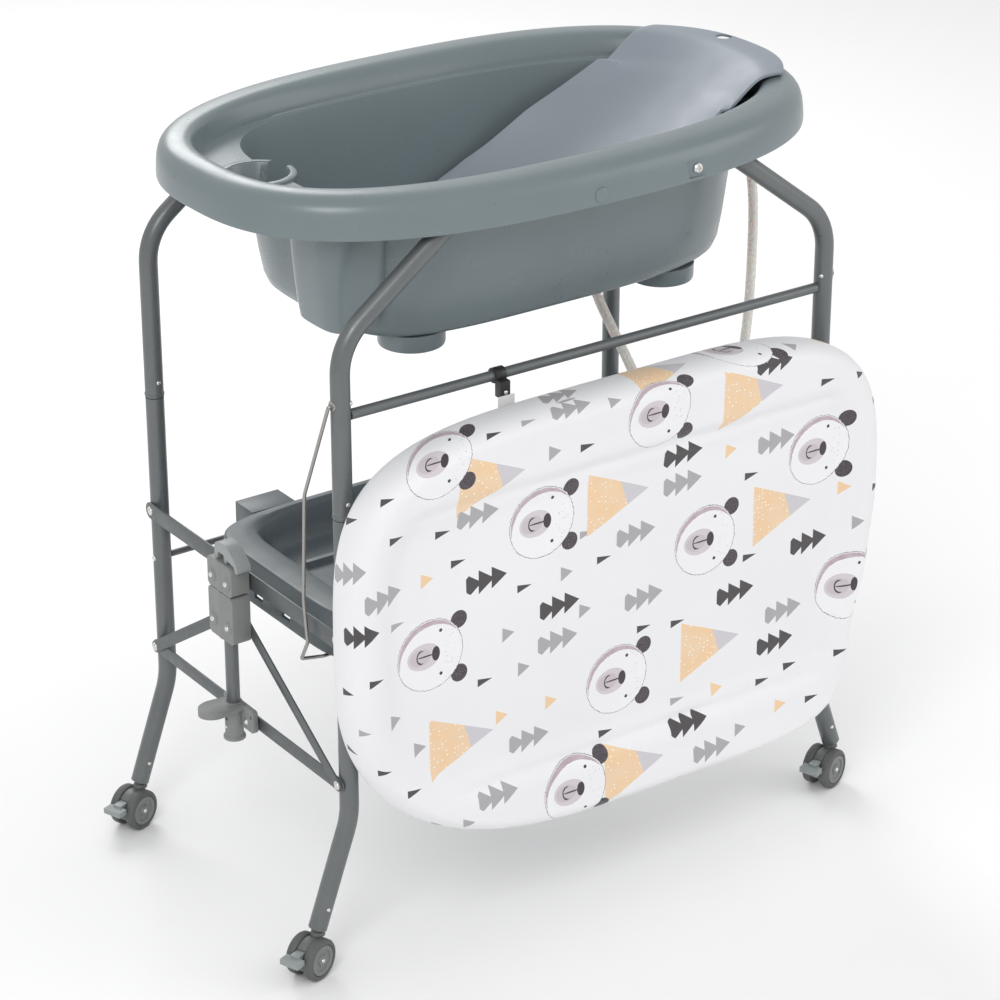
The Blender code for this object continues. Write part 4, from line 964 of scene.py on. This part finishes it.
def cover_material():
    s = Shader("pad_cloth", (.80, .80, .82), .62)
    uvn = s.tree.nodes.new("ShaderNodeUVMap")
    uvn.uv_map = "print"
    p = uvn.outputs["UV"]

    def gather(spots, radius, flatten=1.0):
        """Coordinates about the nearest spot of a kind, with its tone, and whether there is one.

        The reach is an ellipse, so that rows of spots stay apart."""
        local = tone = found = None
        for spot in spots:
            centre, value = (spot if isinstance(spot[0], tuple) else (spot, 1.0))
            d = s.vector('SUBTRACT', p, (*centre, 0))
            near = s.math('LESS_THAN', s.vector('LENGTH', s.vector('MULTIPLY', d, (1, flatten, 1))), radius)
            d = s.vector('SCALE', d, scale=near)
            local = d if local is None else s.vector('ADD', local, d)
            tone = s.math('MULTIPLY', near, value) if tone is None else s.math('MULTIPLY_ADD', near, value, tone)
            found = near if found is None else s.math('ADD', found, near)
        return local, tone, s.math('MINIMUM', found, 1.0)

    def disc(at, centre, rx, ry):
        q = s.vector('MULTIPLY', s.vector('SUBTRACT', at, (*centre, 0)), (1 / rx, 1 / ry, 0))
        return s.math('LESS_THAN', s.vector('LENGTH', q), 1.0)

    def below(at, normal, offset):
        return s.math('LESS_THAN', s.vector('DOT_PRODUCT', at, (*normal, 0)), offset)

    def triangle(at, base_x, base_z, half, length, lean=0.0):
        """Base at the left, apex at the right."""
        slope = half / length
        rel = s.vector('SUBTRACT', at, (base_x, base_z, 0))
        a = below(rel, (slope + lean, 1), half)
        b = below(rel, (slope - lean, -1), half)
        c = below(rel, (-1, 0), 0)
        return s.math('MULTIPLY', s.math('MULTIPLY', a, b), c)

    def both(a, b):
        return s.math('MULTIPLY', a, b)

    def either(*many):
        out = many[0]
        for m_ in many[1:]:
            out = s.math('MAXIMUM', out, m_)
        return out

    grey, charcoal, peach = (.40, .39, .41, 1), (.062, .056, .060, 1), (.86, .60, .36, 1)
    mauve, dusk, white = (.60, .53, .56, 1), (.40, .28, .33, 1), (.86, .86, .88, 1)
    wobble = s.math('MULTIPLY', s.math('SUBTRACT', s.noise(260.0, 1.0, where=p), .5), .0026)
    colour = (.835, .835, .858, 1)

    # small triangles on a jittered lattice
    rng = random.Random(5)
    slim, wide = [], []
    for i in range(-7, 8):
        for j in range(-5, 6):
            x = i * .056 + (.028 if j % 2 else 0) + rng.uniform(-.010, .010)
            z = j * .052 + rng.uniform(-.011, .011)
            tone = rng.random()
            far = all(math.hypot(x - a, z - b) > .064 for a, b in FACES) and all(math.hypot(x - a - .004,
                z - b) > .054 for a, b in PEAKS)
            if far and all(math.hypot(x - a[0], z - a[1]) > .036 for a, _ in TREES):
                (slim if tone < .55 else wide).append(((x, z), tone))
    at, tone, found = gather(slim, .017)
    shape = both(found, triangle(at, -.009, -.002, .0048, .020, -.06))
    colour = s.mix(shape, colour, s.mix(s.math('LESS_THAN', tone, .40), grey, charcoal))
    at, tone, found = gather(wide, .017)
    shape = both(found, triangle(at, -.008, 0, .0090, .0165))
    colour = s.mix(shape, colour, s.mix(s.math('LESS_THAN', tone, .80), peach, grey))
    # peaks
    at, tone, found = gather([(c, 1.0) for c in PEAKS], .056)
    shape = both(found, triangle(at, -.040, 0, .0385, .0860))
    tip = s.math('GREATER_THAN', s.vector('DOT_PRODUCT', at, (1, .32, 0)), .0120)
    dots_v = s.tree.nodes.new("ShaderNodeTexVoronoi")
    dots_v.inputs["Scale"].default_value = 185.0
    dots_v.inputs["Randomness"].default_value = .55
    s.link(p, dots_v.inputs["Vector"])
    dots = s.math('LESS_THAN', dots_v.outputs["Distance"], .20)
    wash = s.range(s.noise(38.0, 2.0, where=p), .35, .65, 0, 1)
    tint = s.mix(wash, peach, (.84, .63, .43, 1))
    colour = s.mix(shape, colour, s.mix(tip, s.mix(dots, tint, (.95, .88, .78, 1)), (.60, .58, .62, 1)))
    # fir trees
    at, tone, found = gather(TREES, .031, 1.75)
    tiers = either(triangle(at, -.0280, -.0012, .0150, .0215), triangle(at, -.0112, 0, .0146, .0210),
        triangle(at, .0060, .0008, .0134, .0205))
    ink = s.mix(s.math('GREATER_THAN', tone, .7), grey, charcoal)
    colour = s.mix(both(found, tiers), colour, ink)
    # round animal faces
    at, tone, found = gather([(c, 1.0) for c in FACES], .062)
    r = s.math('ADD', s.vector('LENGTH', at), wobble)
    scribble = s.math('GREATER_THAN', s.noise(900.0, 3.0, where=p), .58)
    ear_ink = s.mix(scribble, (.045, .035, .045, 1), (.19, .16, .19, 1))
    ears = either(disc(at, (.0380, .0330), .0108, .0108), disc(at, (.0380, -.0330), .0108, .0108))
    colour = s.mix(both(found, ears), colour, ear_ink)
    face = both(found, s.math('LESS_THAN', r, .0432))
    colour = s.mix(face, colour, (.10, .09, .10, 1))
    face = both(found, s.math('LESS_THAN', r, .0426))
    colour = s.mix(face, colour, white)
    inner = s.vector('LENGTH', s.vector('SUBTRACT', at, (.0030, -.0075, 0)))
    crescent = both(both(face, s.math('GREATER_THAN', s.math('SUBTRACT', inner, s.math('MULTIPLY', wobble, .7)),
        .0432)), s.math('LESS_THAN', r, .0416))
    colour = s.mix(crescent, colour, s.mix(s.noise(90.0, 2.0, where=p), dusk, mauve))
    muzzle = both(face, disc(at, (-.0085, 0), .0215, .0160))
    colour = s.mix(muzzle, colour, (.64, .59, .62, 1))
    inside = both(face, disc(at, (-.0130, 0), .0140, .0105))
    colour = s.mix(inside, colour, (.57, .51, .54, 1))
    nose = both(face, disc(at, (.0075, 0), .0052, .0088))
    line = both(disc(at, (-.0050, 0), .0120, .0010), face)
    smile = both(both(face, disc(at, (-.0120, 0), .0062, .0085)),
        s.math('GREATER_THAN', s.vector('LENGTH', s.vector('SUBTRACT', at, (-.0095, 0, 0))), .0072))
    eyes = both(face, either(disc(at, (.0140, .0265), .0021, .0021), disc(at, (.0140, -.0265), .0021, .0021)))
    colour = s.mix(either(nose, line, smile, eyes), colour, (.045, .032, .042, 1))
    dashes = both(both(face, s.math('GREATER_THAN', s.vector('DOT_PRODUCT', at, (1, 0, 0)), .0195)),
        s.math('LESS_THAN', r, .0385))
    flecks = s.tree.nodes.new("ShaderNodeTexVoronoi")
    flecks.inputs["Scale"].default_value = 160.0
    s.link(s.vector('MULTIPLY', p, (1.0, 2.2, 1)), flecks.inputs["Vector"])
    colour = s.mix(both(dashes, s.math('LESS_THAN', flecks.outputs["Distance"], .16)), colour, (.52, .50, .53, 1))
    # cloth
    shade = s.range(s.noise(4.0, 3.0), .3, .7, .965, 1.0)
    n = s.tree.nodes.new("ShaderNodeMix")
    n.data_type, n.blend_type = 'RGBA', 'MULTIPLY'
    n.inputs["Factor"].default_value = 1.0
    rgba = [q for q in n.inputs if q.type == 'RGBA']
    s.link(colour, rgba[0])
    s.link(shade, rgba[1])
    s.link([q for q in n.outputs if q.type == 'RGBA'][0], s.bsdf.inputs["Base Color"])
    s.link(s.range(s.noise(160.0, 3.0), .3, .7, .50, .68), s.bsdf.inputs["Roughness"])
    weave = s.math('MULTIPLY', s.wave(520.0, 'X', where=p), s.wave(520.0, 'Y', where=p))
    s.bump(weave, .22, .0002)
    s.bump(s.noise(30.0, 4.0, .55), .16, .0022)
    s.bsdf.inputs["Sheen Weight"].default_value = .12
    s.bsdf.inputs["Coat Weight"].default_value = .08
    s.bsdf.inputs["Coat Roughness"].default_value = .35
    return s.mat


COVER = cover_material()
cushion = put(pad, "changing_pad_cover", COVER, ["changing_pad"], angle=60)
done(pad)
# carry loop of dark webbing at the right end
loop_path = smooth_path([(.360, -.247, BOARD_Z + .060), (.378, -.2465, BOARD_Z + .048), (.3855, -.246, BOARD_Z + .030),
    (.378, -.2465, BOARD_Z + .012), (.360, -.247, BOARD_Z + .000)], .003)
bm = bmesh.new()
previous = None
for p in loop_path:
    here = [bm.verts.new((p.x, p.y + w, p.z)) for w in (-.0085, .0085)]
    if previous:
        bm.faces.new((previous[0], here[0], here[1], previous[1]))
    previous = here
loop = from_bmesh("loop", bm)
m = loop.modifiers.new("thickness", 'SOLIDIFY')
m.thickness, m.offset = .0012, 0
put(loop, "carry_loop", DARKWEB, body="board")
done(loop)

# ---------------------------------------------------------------- studio
me = bpy.data.meshes.new("floor")
bm = bmesh.new()
bmesh.ops.create_grid(bm, x_segments=1, y_segments=1, size=12)
bm.to_mesh(me)
bm.free()
floor = add("floor", me)
floor_look = Shader("floor_paper", (.93, .93, .93), .8)
floor_look.vary(.004, .75, .85, 2.0)
me.materials.append(floor_look.mat)


def area_light(name, at, target, size, power, colour=(1, 1, 1)):
    data = bpy.data.lights.new(name, 'AREA')
    data.shape, data.size, data.energy, data.color = 'DISK', size, power, colour
    lamp = add(name, data)
    at, target = Vector(at), Vector(target)
    lamp.matrix_world = Matrix.Translation(at) @ (target - at).to_track_quat('-Z', 'Y').to_matrix().to_4x4()
    return lamp


area_light("key", (-2.6, -2.2, 3.2), (0, 0, .5), 1.8, 52)
area_light("fill", (2.8, -2.4, 1.8), (0, 0, .45), 2.4, 20)
area_light("back", (.6, 3.0, 2.6), (0, 0, .6), 2.0, 50)
world = bpy.data.worlds.new("world")
bpy.context.scene.world = world
world.use_nodes = True
backdrop = world.node_tree.nodes["Background"]
backdrop.inputs["Color"].default_value = (1, 1, 1, 1)
backdrop.inputs["Strength"].default_value = .74
bpy.context.scene.view_settings.view_transform = 'Standard'
bpy.context.scene.view_settings.look = 'None'

# ---------------------------------------------------------------- final update
bpy.context.view_layer.update()
